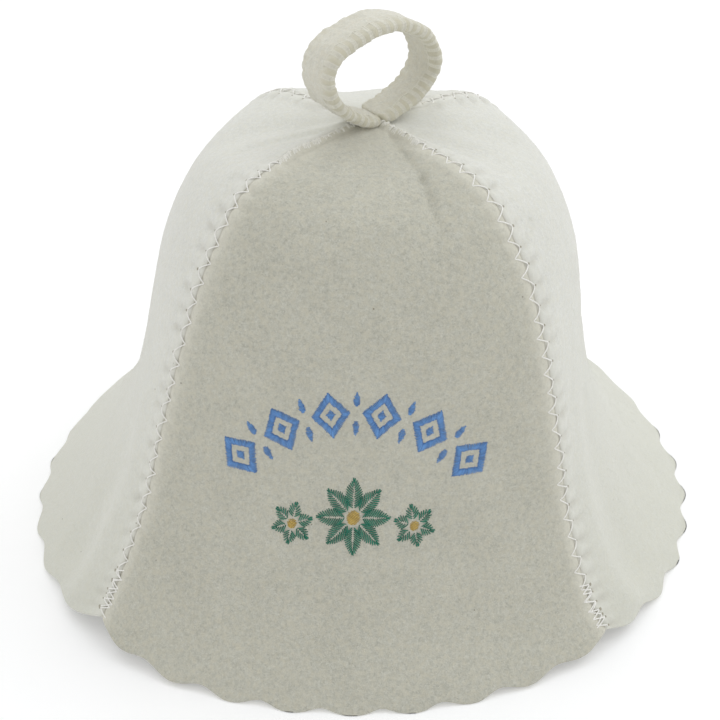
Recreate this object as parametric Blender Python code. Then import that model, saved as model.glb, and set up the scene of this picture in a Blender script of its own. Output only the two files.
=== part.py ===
"""A felt sauna hat: four sewn wedges with a scalloped brim, and a hanging loop at the apex.

+Z is up and the front wedge faces -Y. The hat stands on its brim, with the origin under the middle
of its bounding box. Tables and driving dimensions are in millimetres, and MM turns them into metres.
"""
import math

import bmesh
import bpy
import numpy as np

MM = 0.001

# The felt and how the wedges meet
WALL = 3.0              # thickness of the felt
SEAM_GAP = 0.3          # between the edges of two neighbouring wedges
WEDGE_LENGTH = 294.0    # up the middle of a wedge, from the brim to the apex
HALF_TURN = 45.0        # degrees from the middle of a wedge to its seam

# The brim's edge
SCALLOPS = 9            # on one wedge
SCALLOP_DEPTH = 3.0     # from crest to hollow
SCALLOP_REACH = 0.12    # share of the wedge's length over which the scallops die away
NOTCH_SHARPNESS = 7.0   # power that keeps the notches close to the seams
RIM_REACH_POWER = 6     # power that keeps the brim's own reach close to its edge
SETTLE = 1.2            # how much of the lowest scallops is pressed flat by standing

# The hanging loop, a folded strip whose width lies along the long seam
LOOP_WIDTH = 19.0
LOOP_THICKNESS = 5.0
LOOP_EDGE = 1.6         # how far the strip's long edges are rounded off
LOOP_SEAT = 0.3         # between the strip's ends and the crown
LOOP_TURN = 40.0        # degrees from +X to the direction that the loop spans
LOOP_SECTIONS = 44

# The outer surface from the brim (share 0) to the apex (share 1), at the middle of a wedge and at its
# seams; the last column leans the whole level towards +X
PROFILE_COLUMNS = ("share", "middle_radius", "middle_height", "seam_radius", "seam_height", "lean")
PROFILE = (
    (0.00, 160.5, 0.0, 169.5, 6.0, 0.0),
    (0.13, 135.0, 25.0, 151.0, 23.5, -3.0),
    (0.27, 114.5, 60.0, 131.5, 59.0, -2.5),
    (0.42, 100.0, 107.0, 119.0, 97.0, -1.5),
    (0.57, 91.5, 149.0, 103.5, 141.0, 0.0),
    (0.71, 77.0, 178.5, 87.5, 172.5, 0.5),
    (0.85, 55.5, 192.0, 61.5, 196.5, 0.0),
    (1.00, 0.0, 200.0, 0.0, 200.0, 0.5),
)

# One row per wedge, counter-clockwise from the front. The seam is the one after the wedge, reach is
# how far the brim stands out of the profile there, and notch is how far the corner is cut back
WEDGE_COLUMNS = ("name", "azimuth", "middle_reach", "seam_reach", "notch")
WEDGES = (
    ("front_panel", -90.0, -8.0, -11.5, 9.0),
    ("right_panel", 0.0, 0.0, 0.0, 10.0),
    ("back_panel", 90.0, 0.0, 0.0, 10.0),
    ("left_panel", 180.0, 7.0, 0.0, 18.0),
)

# Dents and folds: where each one's middle is, how far it spreads and how deep it goes in
DENT_COLUMNS = ("wedge", "across", "share", "half_across", "half_share", "depth")
DENTS = (
    ("front_panel", 0.52, 0.84, 0.22, 0.13, 3.0),
    ("front_panel", -0.30, 0.90, 0.30, 0.08, -1.0),
    ("front_panel", 0.10, 0.45, 0.70, 0.12, 1.2),
    ("right_panel", -0.50, 0.90, 0.25, 0.08, 2.5),
    ("right_panel", 0.10, 0.84, 0.25, 0.12, 2.0),
    ("right_panel", 0.00, 0.30, 0.60, 0.10, 1.5),
    ("back_panel", 0.30, 0.82, 0.30, 0.12, 2.0),
    ("left_panel", 0.50, 0.91, 0.22, 0.08, 2.5),
    ("left_panel", -0.10, 0.86, 0.25, 0.12, 2.0),
    ("left_panel", 0.00, 0.28, 0.60, 0.10, 1.5),
)

# Levels of the mesh: its share of the way up, and how many facets run across a wedge there
LEVEL_COLUMNS = ("share", "facets")
LEVELS = (
    (0.000, 54), (0.030, 54), (0.075, 28), (0.130, 24), (0.185, 24), (0.240, 24), (0.300, 22),
    (0.360, 22), (0.420, 20), (0.480, 20), (0.540, 20), (0.600, 20), (0.655, 18), (0.710, 18),
    (0.765, 18), (0.820, 16), (0.870, 14), (0.915, 12), (0.955, 8), (0.985, 4), (1.000, 0),
)

# The loop's middle line: along the direction that it spans, and up from its seat on the crown
LOOP_COLUMNS = ("along", "up")
LOOP_PATH = (
    (-0.4, 0.0), (-7.0, 1.2), (-14.0, 5.2), (-23.5, 14.0), (-27.5, 25.0), (-23.0, 33.5), (-10.5, 38.8),
    (3.5, 40.6), (17.0, 37.0), (27.0, 28.0), (29.3, 17.5), (22.5, 8.2), (12.0, 3.2), (0.4, 0.0),
)

FELT_COLOR = (0.72, 0.70, 0.62, 1.0)
LOOP_COLOR = (0.76, 0.74, 0.65, 1.0)
FELT_ROUGHNESS = 0.95
SHARP_ANGLE = math.radians(40.0)
STEP = 1e-4             # step of the numerical slopes, as a share of the wedge
TOP_SHARE = 0.998       # the highest share at which a wedge's slope is measured
PAST_THE_END = 2.0      # a share that no vertex of a row reaches


def column(table, columns, name):
    """One column of a table as an array."""
    return np.array([row[columns.index(name)] for row in table], dtype=float)


def named_rows(table, columns):
    """The rows of a table as dictionaries."""
    return [dict(zip(columns, row)) for row in table]


def smooth(at, knots, values):
    """Catmull-Rom curve through the values at the knots."""
    i = min(max(int(np.searchsorted(knots, at)) - 1, 0), len(knots) - 2)
    width = knots[i + 1] - knots[i]
    slopes = np.gradient(values, knots)
    t = (at - knots[i]) / width
    rise = (3.0 - 2.0 * t) * t * t
    return (values[i] * (1.0 - rise) + values[i + 1] * rise
            + slopes[i] * width * t * (1.0 - t) ** 2 - slopes[i + 1] * width * t * t * (1.0 - t))


def profile(name, share):
    """A column of the profile at any share; past the apex it mirrors, so that the crown is round."""
    knots = column(PROFILE, PROFILE_COLUMNS, "share")
    values = column(PROFILE, PROFILE_COLUMNS, name)
    mirrored = 2.0 * values[-1] - values[-2] if name.endswith("radius") else values[-2]
    knots = np.append(knots, 2.0 * knots[-1] - knots[-2])
    return smooth(share, knots, np.append(values, mirrored))


def meridian(line, azimuth, reach, share):
    """A point on the middle of a wedge or on a seam."""
    radius = profile(line + "_radius", share) + reach * max(0.0, 1.0 - share) ** RIM_REACH_POWER
    turn = math.radians(azimuth)
    lean = profile("lean", share)
    return np.array([radius * math.cos(turn) + lean, radius * math.sin(turn),
                     profile(line + "_height", share)])


def wedge(index):
    """A wedge's row of the table, counted round the hat."""
    return named_rows(WEDGES, WEDGE_COLUMNS)[index % len(WEDGES)]


def cut_back(index, across, share):
    """How far up its wedge a point moves for the scallops and for the notch at each seam."""
    notch = wedge(index if across > 0.0 else index - 1)["notch"]
    corner = notch * abs(across) ** NOTCH_SHARPNESS * (1.0 - share)
    fade = max(0.0, 1.0 - share / SCALLOP_REACH) ** 2
    wave = 0.5 + 0.5 * math.cos(math.pi * SCALLOPS * (across + 1.0))
    return (corner + SCALLOP_DEPTH * wave * fade) / WEDGE_LENGTH


def smooth_wall(index, across, share):
    """The outer surface without its dents; across runs from -1 at one seam to 1 at the next."""
    row, before = wedge(index), wedge(index - 1)
    share = share + cut_back(index, across, share)
    start = meridian("seam", row["azimuth"] - HALF_TURN, before["seam_reach"], share)
    middle = meridian("middle", row["azimuth"], row["middle_reach"], share)
    end = meridian("seam", row["azimuth"] + HALF_TURN, row["seam_reach"], share)
    bulge = 1.0 - across * across
    return (start + end) / 2.0 * across * across + (end - start) / 2.0 * across + middle * bulge


def wall_normal(index, across, share):
    """The outward unit normal of the smooth wall."""
    share = min(share, TOP_SHARE)
    low = max(share - STEP, 0.0)
    left, right = max(across - STEP, -1.0), min(across + STEP, 1.0)
    along = smooth_wall(index, right, share) - smooth_wall(index, left, share)
    up = smooth_wall(index, across, share + STEP) - smooth_wall(index, across, low)
    normal = np.cross(along, up)
    return normal / np.linalg.norm(normal)


def dent_depth(name, across, share):
    """How far the dents push the wall in at a point; they end before the seams."""
    depth = 0.0
    for dent in named_rows(DENTS, DENT_COLUMNS):
        if dent["wedge"] == name:
            sideways = (across - dent["across"]) / dent["half_across"]
            upward = (share - dent["share"]) / dent["half_share"]
            depth += dent["depth"] * math.exp(-sideways * sideways - upward * upward)
    return depth * (1.0 - across * across)


def seam_points(index, side, share):
    """The outer and inner corner of a wedge's edge, half the gap away from the seam's own plane."""
    neighbour = index + side
    point = smooth_wall(index, float(side), share)
    normals = wall_normal(index, float(side), share), wall_normal(neighbour, -float(side), share)
    mitre = (normals[0] + normals[1]) / np.linalg.norm(normals[0] + normals[1])
    inward = -mitre * WALL / float(np.dot(mitre, normals[0]))
    share = min(share, TOP_SHARE)
    slope = smooth_wall(index, float(side), share + STEP) - smooth_wall(index, float(side), share)
    away = np.cross(slope, mitre)
    away = -side * away * SEAM_GAP / 2.0 / np.linalg.norm(away)
    return point + away, point + inward + away


def tip_points(index):
    """The outer and inner end of a wedge at the apex, clear of both its seams."""
    turn = math.radians(wedge(index)["azimuth"])
    away = np.array([math.cos(turn), math.sin(turn), 0.0]) * SEAM_GAP / math.sqrt(2.0)
    apex = smooth_wall(index, 0.0, 1.0)
    return apex + away, apex + away - np.array([0.0, 0.0, WALL])


def level_points(index, share, facets):
    """One level of a wedge: its outer points and its inner points, from seam to seam."""
    if facets == 0:
        outer, inner = tip_points(index)
        return [outer], [inner]
    pairs = [seam_points(index, -1, share)]
    for step in range(1, facets):
        across = 2.0 * step / facets - 1.0
        normal = wall_normal(index, across, share)
        dent = dent_depth(wedge(index)["name"], across, share)
        outer = smooth_wall(index, across, share) - normal * dent
        pairs.append((outer, outer - normal * WALL))
    pairs.append(seam_points(index, 1, share))
    return [pair[0] for pair in pairs], [pair[1] for pair in pairs]


def zip_rows(bm, lower, upper):
    """Triangles between two rows of vertices that may differ in number."""
    i = j = 0
    while i < len(lower) - 1 or j < len(upper) - 1:
        next_lower = (i + 1) / (len(lower) - 1) if i < len(lower) - 1 else PAST_THE_END
        next_upper = (j + 1) / (len(upper) - 1) if j < len(upper) - 1 else PAST_THE_END
        if next_lower <= next_upper:
            bm.faces.new((lower[i], lower[i + 1], upper[j]))
            i += 1
        else:
            bm.faces.new((lower[i], upper[j + 1], upper[j]))
            j += 1


def on_the_ground(point):
    """A point in metres, with the hat settled on the ground and nothing below it."""
    x, y, z = point
    return (x * MM, y * MM, max(z - SETTLE, 0.0) * MM)


def build_wedge(index):
    """One wedge of felt: an outer and an inner skin, joined round their edges."""
    bm = bmesh.new()
    skins = ([], [])
    for level in named_rows(LEVELS, LEVEL_COLUMNS):
        for skin, points in zip(skins, level_points(index, level["share"], level["facets"])):
            skin.append([bm.verts.new(on_the_ground(point)) for point in points])
    outer, inner = skins
    for low in range(len(LEVELS) - 1):
        high = low + 1
        zip_rows(bm, outer[low], outer[high])
        zip_rows(bm, inner[low][::-1], inner[high][::-1])
        bm.faces.new((outer[low][0], outer[high][0], inner[high][0], inner[low][0]))
        bm.faces.new((outer[high][-1], outer[low][-1], inner[low][-1], inner[high][-1]))
    for left in range(len(outer[0]) - 1):
        bm.faces.new((outer[0][left + 1], outer[0][left], inner[0][left], inner[0][left + 1]))
    return finish_object(wedge(index)["name"], bm, FELT_COLOR)


def strip_section():
    """The folded strip's cross-section: across its width and across its thickness."""
    wide, thick = LOOP_WIDTH / 2.0, LOOP_THICKNESS / 2.0
    return ((-wide, -thick + LOOP_EDGE), (-wide + LOOP_EDGE, -thick), (wide - LOOP_EDGE, -thick),
            (wide, -thick + LOOP_EDGE), (wide, thick - LOOP_EDGE), (wide - LOOP_EDGE, thick),
            (-wide + LOOP_EDGE, thick), (-wide, thick - LOOP_EDGE))


def loop_point(share):
    """A point of the loop's middle line in its own plane, at a share of its length."""
    along, up = column(LOOP_PATH, LOOP_COLUMNS, "along"), column(LOOP_PATH, LOOP_COLUMNS, "up")
    lengths = np.append(0.0, np.cumsum(np.hypot(np.diff(along), np.diff(up))))
    at = share * lengths[-1]
    return np.array([smooth(at, lengths, along), smooth(at, lengths, up)])


def build_loop():
    """The hanging loop: the strip's section swept round the loop's middle line."""
    turn = math.radians(LOOP_TURN)
    span = np.array([math.cos(turn), math.sin(turn), 0.0])
    across = np.array([-math.sin(turn), math.cos(turn), 0.0])
    upward = np.array([0.0, 0.0, 1.0])
    seat = smooth_wall(0, 0.0, 1.0) + upward * (LOOP_SEAT + LOOP_THICKNESS / 2.0)
    bm = bmesh.new()
    rings = []
    for number in range(LOOP_SECTIONS + 1):
        share = number / LOOP_SECTIONS
        along, up = loop_point(share)
        ahead = loop_point(min(share + STEP, 1.0)) - loop_point(max(share - STEP, 0.0))
        ahead /= np.linalg.norm(ahead)
        outward = upward * ahead[0] - span * ahead[1]
        center = seat + span * along + upward * up
        points = [center + across * wide + outward * thick for wide, thick in strip_section()]
        rings.append([bm.verts.new(on_the_ground(point)) for point in points])
    for ring, following in zip(rings, rings[1:]):
        for corner in range(len(ring)):
            before = corner - 1
            bm.faces.new((ring[before], ring[corner], following[corner], following[before]))
    bm.faces.new(rings[0][::-1])
    bm.faces.new(rings[-1])
    return finish_object("hanging_loop", bm, LOOP_COLOR)


def felt_material(name, color):
    """A plain matt felt of one colour."""
    material = bpy.data.materials.new(name)
    material.use_nodes = True
    shader = material.node_tree.nodes["Principled BSDF"]
    shader.inputs["Base Color"].default_value = color
    shader.inputs["Roughness"].default_value = FELT_ROUGHNESS
    shader.inputs["Metallic"].default_value = 0.0
    return material


def finish_object(name, bm, color):
    """Turn a bmesh into a named object with outward faces, its own material and smooth shading."""
    bmesh.ops.recalc_face_normals(bm, faces=bm.faces)
    mesh = bpy.data.meshes.new(name)
    bm.to_mesh(mesh)
    bm.free()
    mesh.materials.append(felt_material(name + "_felt", color))
    mesh.shade_smooth()
    mesh.set_sharp_from_angle(angle=SHARP_ANGLE)
    made = bpy.data.objects.new(name, mesh)
    bpy.context.collection.objects.link(made)
    return made


def center_on_origin(objects):
    """Move every mesh so that the origin lies under the middle of the hat's bounding box."""
    points = np.array([vertex.co for made in objects for vertex in made.data.vertices])
    low, high = points.min(axis=0), points.max(axis=0)
    shift = np.array([-(low[0] + high[0]) / 2.0, -(low[1] + high[1]) / 2.0, -low[2]])
    for made in objects:
        for vertex in made.data.vertices:
            vertex.co = [value + move for value, move in zip(vertex.co, shift)]


def main():
    for old in list(bpy.data.objects):
        bpy.data.objects.remove(old, do_unlink=True)
    pieces = [build_wedge(index) for index in range(len(WEDGES))]
    pieces.append(build_loop())
    center_on_origin(pieces)
    for made in pieces:
        size = ", ".join(f"{value * 1000:.1f}" for value in made.dimensions)
        print(f"{made.name}: {size} mm, {len(made.data.vertices)} vertices")


main()
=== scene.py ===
# %% [markdown]
# # A sauna hat of wool felt
#
# The real hat is four wedges of thick felt, sewn edge to edge with a zigzag stitch, with a scalloped
# brim and a hanging loop on the crown. The solids of the hat are already built. This file dresses
# them: felt with a nap, rolled seams, every stitch as a thread, a loop with an overcast edge and a
# small embroidered ornament on the front wedge.

# %% Load the solids
import math
from functools import lru_cache

import bpy
import numpy as np
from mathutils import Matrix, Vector, noise


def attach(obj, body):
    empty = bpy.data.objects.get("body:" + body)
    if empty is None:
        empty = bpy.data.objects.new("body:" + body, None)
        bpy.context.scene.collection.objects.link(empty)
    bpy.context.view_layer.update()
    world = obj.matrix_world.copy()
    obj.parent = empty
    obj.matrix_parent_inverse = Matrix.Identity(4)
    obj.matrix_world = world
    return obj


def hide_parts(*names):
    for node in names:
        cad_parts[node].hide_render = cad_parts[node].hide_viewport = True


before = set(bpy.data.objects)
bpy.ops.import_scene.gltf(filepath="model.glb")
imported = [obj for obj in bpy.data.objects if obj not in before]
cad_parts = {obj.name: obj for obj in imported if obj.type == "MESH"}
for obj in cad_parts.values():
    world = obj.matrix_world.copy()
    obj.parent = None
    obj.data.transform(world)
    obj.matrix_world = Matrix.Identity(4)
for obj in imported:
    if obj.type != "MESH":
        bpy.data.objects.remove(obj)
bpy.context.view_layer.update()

# %% [markdown]
# The camera comes first, because everything is judged through it. The hat stands on its brim, and the
# photograph looks down on it by about 35 degrees from only 60 cm away, so the brim looks wide and the
# crown leans back. A real camera that close has the same perspective, so the eye's distance matters
# more than the lens. Depth of field stays off.

# %% The camera
EYE = (0.0165, -0.5226, 0.4290)
AIM = (-0.0006, -0.0041, 0.0760)
LENS, SENSOR_WIDTH = 65.5, 36.0     # both in millimetres
NEAREST = 0.01          # the camera sees nothing closer, in metres

camera_data = bpy.data.cameras.new("camera")
camera_data.lens = LENS
camera_data.sensor_width = SENSOR_WIDTH
camera_data.clip_start = NEAREST
camera = bpy.data.objects.new("camera", camera_data)
camera.location = EYE
camera.rotation_euler = (Vector(AIM) - Vector(EYE)).to_track_quat("-Z", "Y").to_euler()
bpy.context.collection.objects.link(camera)
bpy.context.scene.camera = camera
print("camera", round((Vector(AIM) - Vector(EYE)).length, 3), "m from the hat")

# %% [markdown]
# The felt follows the same wall as the solids: a profile at the middle of each wedge and at the seams,
# rounded between its rows by a Catmull-Rom curve. Modelling the wall by hand would drift away from the
# solids, so the same short tables are used here, in millimetres, and every piece is laid on the wall
# by its place across a wedge (-1 at one seam, 1 at the next) and up it (0 at the brim, 1 at the apex).

# %% The wall's tables
MM = 0.001
WALL = 3.0              # thickness of the felt
WEDGE_LENGTH = 294.0    # up the middle of a wedge
HALF_TURN = 45.0        # degrees from the middle of a wedge to its seam
SCALLOPS = 9
SCALLOP_DEPTH = 4.5     # at the seams
SCALLOP_ROUNDNESS = 1.8
SCALLOP_REACH = 0.12    # share of the wedge over which the scallops die away
NOTCH_SHARPNESS = 7.0
RIM_REACH_POWER = 6     # how soon a wedge's own reach at the brim dies away
WAVE_FADE, SHIFT_FADE = 6, 4                # a wedge's own waves turn to the common ones at its seams
SETTLE = 1.2            # how much of the lowest scallops is pressed flat by standing
CENTERED = (3.5, -4.0, -SETTLE)

PROFILE_COLUMNS = ("share", "middle_radius", "middle_height", "seam_radius", "seam_height", "lean")
PROFILE = (
    (0.00, 160.5, 0.0, 169.5, 6.0, 0.0),
    (0.13, 135.0, 25.0, 151.0, 23.5, -3.0),
    (0.27, 114.5, 60.0, 131.5, 59.0, -2.5),
    (0.42, 100.0, 107.0, 119.0, 97.0, -1.5),
    (0.57, 91.5, 149.0, 103.5, 141.0, 0.0),
    (0.71, 77.0, 178.5, 87.5, 172.5, 0.5),
    (0.85, 55.5, 192.0, 61.5, 196.5, 0.0),
    (1.00, 0.0, 200.0, 0.0, 200.0, 0.5),
)
WEDGE_COLUMNS = ("name", "azimuth", "middle_reach", "seam_reach", "notch", "depth", "past", "shift")
WEDGES = (
    ("front_panel", -90.0, -8.0, -11.5, 9.0, 4.8, 0.0, 0.02),
    ("right_panel", 0.0, 0.0, 0.0, 10.0, 5.2, 1.4, 0.03),
    ("back_panel", 90.0, 0.0, 0.0, 10.0, 5.0, 0.5, 0.0),
    ("left_panel", 180.0, 7.0, 0.0, 18.0, 4.4, -1.0, 0.10),
)

print("felt", WALL, "mm thick, wedges", [row[0] for row in WEDGES], "profile rows", len(PROFILE))

# %% [markdown]
# Functions turn the tables into a wall that can be asked for any point. A mesh of the wall would only
# know its own vertices, and the stitches, the loop and the embroidery need places between them. The
# three lines of a wedge, its two seams and its middle, are joined by a parabola across it, and its cut
# edge steps back by the scallops and at the seams.

# %% The wall as functions
def named_rows(table, columns):
    """The rows of a table as dictionaries."""
    return [dict(zip(columns, row)) for row in table]


def wedge(index):
    """A wedge's row, counted round the hat."""
    return named_rows(WEDGES, WEDGE_COLUMNS)[index % len(WEDGES)]


def smooth(at, knots, values):
    """Catmull-Rom curve through the values at the knots."""
    i = np.clip(np.searchsorted(knots, at) - 1, 0, len(knots) - 2)
    width = knots[i + 1] - knots[i]
    slopes = np.gradient(values, knots)
    t = (at - knots[i]) / width
    rise = (3.0 - 2.0 * t) * t * t
    return (values[i] * (1.0 - rise) + values[i + 1] * rise
            + slopes[i] * width * t * (1.0 - t) ** 2 - slopes[i + 1] * width * t * t * (1.0 - t))


def profile(name, share):
    """A column of the profile at any share; it mirrors past the apex, so that the crown is round."""
    knots, values = (np.array([row[PROFILE_COLUMNS.index(key)] for row in PROFILE])
                     for key in ("share", name))
    mirrored = 2.0 * values[-1] - values[-2] if name.endswith("radius") else values[-2]
    return smooth(share, np.append(knots, 2.0 - knots[-2]), np.append(values, mirrored))


def meridian(line, azimuth, reach, share):
    """Points on the middle of a wedge or on a seam."""
    radius = profile(line + "_radius", share) + reach * np.maximum(0.0, 1.0 - share) ** RIM_REACH_POWER
    turn = math.radians(azimuth)
    return np.stack([radius * math.cos(turn) + profile("lean", share), radius * math.sin(turn),
                     profile(line + "_height", share)], axis=-1)


def scallops(row, across):
    """How far the cut edge steps back, in millimetres; each wedge was cut by hand, with its own waves."""
    phase = across + 1.0 + row["shift"] * (1.0 - across ** SHIFT_FADE)
    wave = 1.0 - np.abs(np.sin(math.pi / 2.0 * SCALLOPS * phase)) ** SCALLOP_ROUNDNESS
    inner = 1.0 - across ** WAVE_FADE
    return (SCALLOP_DEPTH + (row["depth"] - SCALLOP_DEPTH) * inner) * wave - row["past"] * inner


def wall(index, across, share):
    """Points of the smooth outer wall, in millimetres."""
    row, before = wedge(index), wedge(index - 1)
    notch = np.where(across > 0.0, row["notch"], before["notch"])
    corner = notch * np.abs(across) ** NOTCH_SHARPNESS * (1.0 - share)
    fade = np.maximum(0.0, 1.0 - share / SCALLOP_REACH) ** 2
    share = share + (corner + scallops(row, across) * fade) / WEDGE_LENGTH
    start = meridian("seam", row["azimuth"] - HALF_TURN, before["seam_reach"], share)
    middle = meridian("middle", row["azimuth"], row["middle_reach"], share)
    end = meridian("seam", row["azimuth"] + HALF_TURN, row["seam_reach"], share)
    u = np.asarray(across)[..., None]
    return (start + end) / 2.0 * u * u + (end - start) / 2.0 * u + middle * (1.0 - u * u)


print("brim of the front wedge, middle and corner:",
      wall(0, np.array([0.0, 1.0]), np.array([0.0, 0.0])).round(1).tolist())

# %% [markdown]
# To stand a stitch on the wall or to give the felt its thickness, its directions are needed as well.
# Blender could be asked for the normals of a finished mesh, but here they are wanted before there is
# one, so two points a small step apart on the wall give each slope, and two slopes give the normal.

# %% The wall's directions
STEP = 1e-4             # step of the numerical slopes
TOP_SHARE = 0.998       # the highest share at which a slope is measured


def unit(vectors):
    """Vectors scaled to a length of 1."""
    return vectors / np.linalg.norm(vectors, axis=-1, keepdims=True)


def wall_slopes(index, across, share):
    """How the wall runs across and up, per unit of each."""
    share = np.minimum(share, TOP_SHARE)
    left, right = np.maximum(across - STEP, -1.0), np.minimum(across + STEP, 1.0)
    low = np.maximum(share - STEP, 0.0)
    sideways = (wall(index, right, share) - wall(index, left, share)) / (right - left)[..., None]
    upward = (wall(index, across, share + STEP) - wall(index, across, low)) / (share + STEP - low)[..., None]
    return sideways, upward


def wall_normal(index, across, share):
    """The wall's outward unit normals."""
    return unit(np.cross(*wall_slopes(index, across, share)))


def settled(points):
    """Points in metres, in the solids' frame, with nothing below the ground."""
    points = (np.asarray(points) + CENTERED) * MM
    points[..., 2] = np.maximum(points[..., 2], 0.0)
    return points


print("apex at", settled(wall(0, np.array([0.0]), np.array([1.0])))[0].round(4))

# %% [markdown]
# The stitches come before the felt, because each one pinches it. The real seam is a zigzag in white
# thread, with a needle hole on one wedge, then on the other, and about 8.6 mm from one hole to the next
# on the same side. Close to the brim the machine went back over its own stitches, so the legs cross,
# and near the apex they are packed into a ridge. Here a pass of the needle is a list of holes: on which
# side of the seam each one is, how far up, and how far from the seam. The zigzag bites wide into the
# wedge on its left and narrowly into the one on its right.

# %% The needle holes of each seam
RUN_COLUMNS = ("from_brim", "pitch", "wide_bite", "narrow_bite")
FIRST_PASS = ((2.0, 6.0, 3.4, 2.6), (20.0, 8.6, 3.7, 2.1))
CREST_PASS = ((-10.0, 6.0, 2.9, 1.9), (3.0, 0.95, 1.8, 1.7))     # counted from where the crest begins
CREST_FROM = (240.0, 240.0, 240.0, 217.0)   # how far up each seam its crest begins
BACK_PASS = ((4.0, 4.4, 3.4, 2.6),)
BACK_PASS_END = 27.0
SEAM_SAMPLES = 600
APEX_CLEARANCE = 5.0    # the stitches end this far from the apex
UNEVEN_PITCH, UNEVEN_BITE = 0.18, 0.18
FIRST_SEED, BACK_SEED = 11, 31


@lru_cache(maxsize=None)
def seam_length_at(index):
    """Shares along the seam after a wedge, and how far up the seam each one is."""
    shares = np.linspace(0.0, 1.0, SEAM_SAMPLES)
    line = wall(index, np.ones(SEAM_SAMPLES), shares)
    return shares, np.append(0.0, np.cumsum(np.linalg.norm(np.diff(line, axis=0), axis=1)))


def needle_holes(index, runs, end, side, seed):
    """Rows of side, share and bite for one pass over the seam after a wedge, from the brim up."""
    shares, lengths = seam_length_at(index)
    dice = np.random.default_rng(seed + index)
    holes = []
    at = runs[0][0]
    while at < min(end, lengths[-1] - APEX_CLEARANCE):
        run = [row for row in named_rows(runs, RUN_COLUMNS) if row["from_brim"] <= at][-1]
        bite = run["wide_bite" if side < 0 else "narrow_bite"]
        bite *= dice.uniform(1.0 - UNEVEN_BITE, 1.0 + UNEVEN_BITE)
        holes.append((side, np.interp(at, lengths, shares), bite))
        at += run["pitch"] / 2.0 * dice.uniform(1.0 - UNEVEN_PITCH, 1.0 + UNEVEN_PITCH)
        side = -side
    return np.array(holes)


def first_pass(index):
    """The runs of a seam's first pass: the plain zigzag, and the tight one along the crest."""
    return FIRST_PASS + tuple((CREST_FROM[index] + row[0], *row[1:]) for row in CREST_PASS)


PASSES = [(needle_holes(index, first_pass(index), WEDGE_LENGTH, 1, FIRST_SEED),
           needle_holes(index, BACK_PASS, BACK_PASS_END, -1, BACK_SEED)) for index in range(len(WEDGES))]
HOLES = [first for first, back in PASSES]
print("needle holes:", [len(first) + len(back) for first, back in PASSES],
      "seam lengths:", [round(seam_length_at(index)[1][-1], 1) for index in range(len(WEDGES))])

# %% [markdown]
# Thick felt keeps the marks of the hands that held it: shallow dents, soft folds that run down from the
# apex, and an uneven surface. They could be sculpted, but a brush can't be repeated exactly. So each
# dent is a soft bump in a table, each fold a soft valley along a line, and the unevenness is noise. A
# negative depth makes a ridge of a fold.

# %% The tables of dents, folds and lumps
DENT_COLUMNS = ("wedge", "across", "share", "half_across", "half_share", "depth")
DENTS = (
    ("front_panel", 0.52, 0.84, 0.22, 0.13, 2.0),
    ("front_panel", -0.30, 0.90, 0.30, 0.08, -1.0),
    ("front_panel", 0.10, 0.45, 0.70, 0.12, 1.2),
    ("right_panel", -0.50, 0.90, 0.25, 0.08, 2.5),
    ("right_panel", 0.10, 0.84, 0.25, 0.12, 2.0),
    ("right_panel", 0.00, 0.30, 0.60, 0.10, 1.5),
    ("back_panel", 0.30, 0.82, 0.30, 0.12, 2.0),
    ("left_panel", 0.50, 0.91, 0.22, 0.08, 1.2),
    ("left_panel", -0.10, 0.86, 0.25, 0.12, 2.0),
    ("left_panel", 0.00, 0.28, 0.60, 0.10, 1.5),
)
LUMP_COLUMNS = ("size", "height")
LUMPS = ((22.0, 0.38), (8.0, 0.16), (3.5, 0.07))
FOLD_COLUMNS = ("wedge", "from_x", "from_up", "to_x", "to_up", "half_width", "depth")
FOLDS = (
    ("front_panel", 9.0, 282.0, 22.0, 259.0, 1.7, 1.5),
    ("front_panel", 22.0, 259.0, 30.0, 222.0, 2.0, 1.8),
    ("front_panel", 6.0, 280.0, 17.0, 252.0, 3.0, -0.7),
    ("front_panel", 16.0, 284.0, 37.0, 256.0, 3.6, -1.3),
    ("front_panel", -22.0, 268.0, -40.0, 240.0, 4.5, 0.8),
    ("left_panel", 11.0, 285.0, 32.0, 262.0, 1.9, 1.0),
    ("left_panel", 5.0, 284.0, 15.0, 248.0, 2.2, 0.9),
    ("left_panel", 15.0, 285.0, 50.0, 268.0, 1.6, 0.9),
    ("left_panel", 38.0, 240.0, 60.0, 212.0, 3.0, 0.9),
    ("left_panel", 96.0, 14.0, 61.0, 112.0, 8.0, -3.0),
    ("left_panel", 71.0, 28.0, 43.0, 100.0, 10.0, 1.8),
    ("right_panel", -14.0, 283.0, -40.0, 262.0, 2.0, 1.2),
    ("right_panel", -8.0, 282.0, -30.0, 246.0, 2.2, 1.1),
    ("right_panel", -40.0, 262.0, -62.0, 236.0, 2.4, 1.0),
    ("right_panel", -46.0, 214.0, -64.0, 206.0, 2.2, 0.9),
    ("right_panel", -97.0, 12.0, -62.0, 116.0, 8.0, -2.8),
    ("right_panel", -72.0, 28.0, -44.0, 106.0, 10.0, 1.5),
    ("back_panel", 12.0, 280.0, 34.0, 252.0, 3.0, 1.0),
    ("back_panel", -10.0, 280.0, -30.0, 244.0, 3.2, 1.0),
)
print("dents:", len(DENTS), "folds:", len(FOLDS), "sizes of lumps:", len(LUMPS))

# %% [markdown]
# Each of the three is a function of a place on a wedge. A fold loses depth along its way, as a real one
# runs out, and dents stop short of the seams, where the stitches hold the felt.

# %% Dents, folds and lumps as heights
FOLD_TAPER = 0.6        # share of its depth that a fold loses along its way


def bell(distance, reach):
    """A soft bump that has died away at about twice its reach."""
    return np.exp(-(distance / reach) ** 2)


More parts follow.
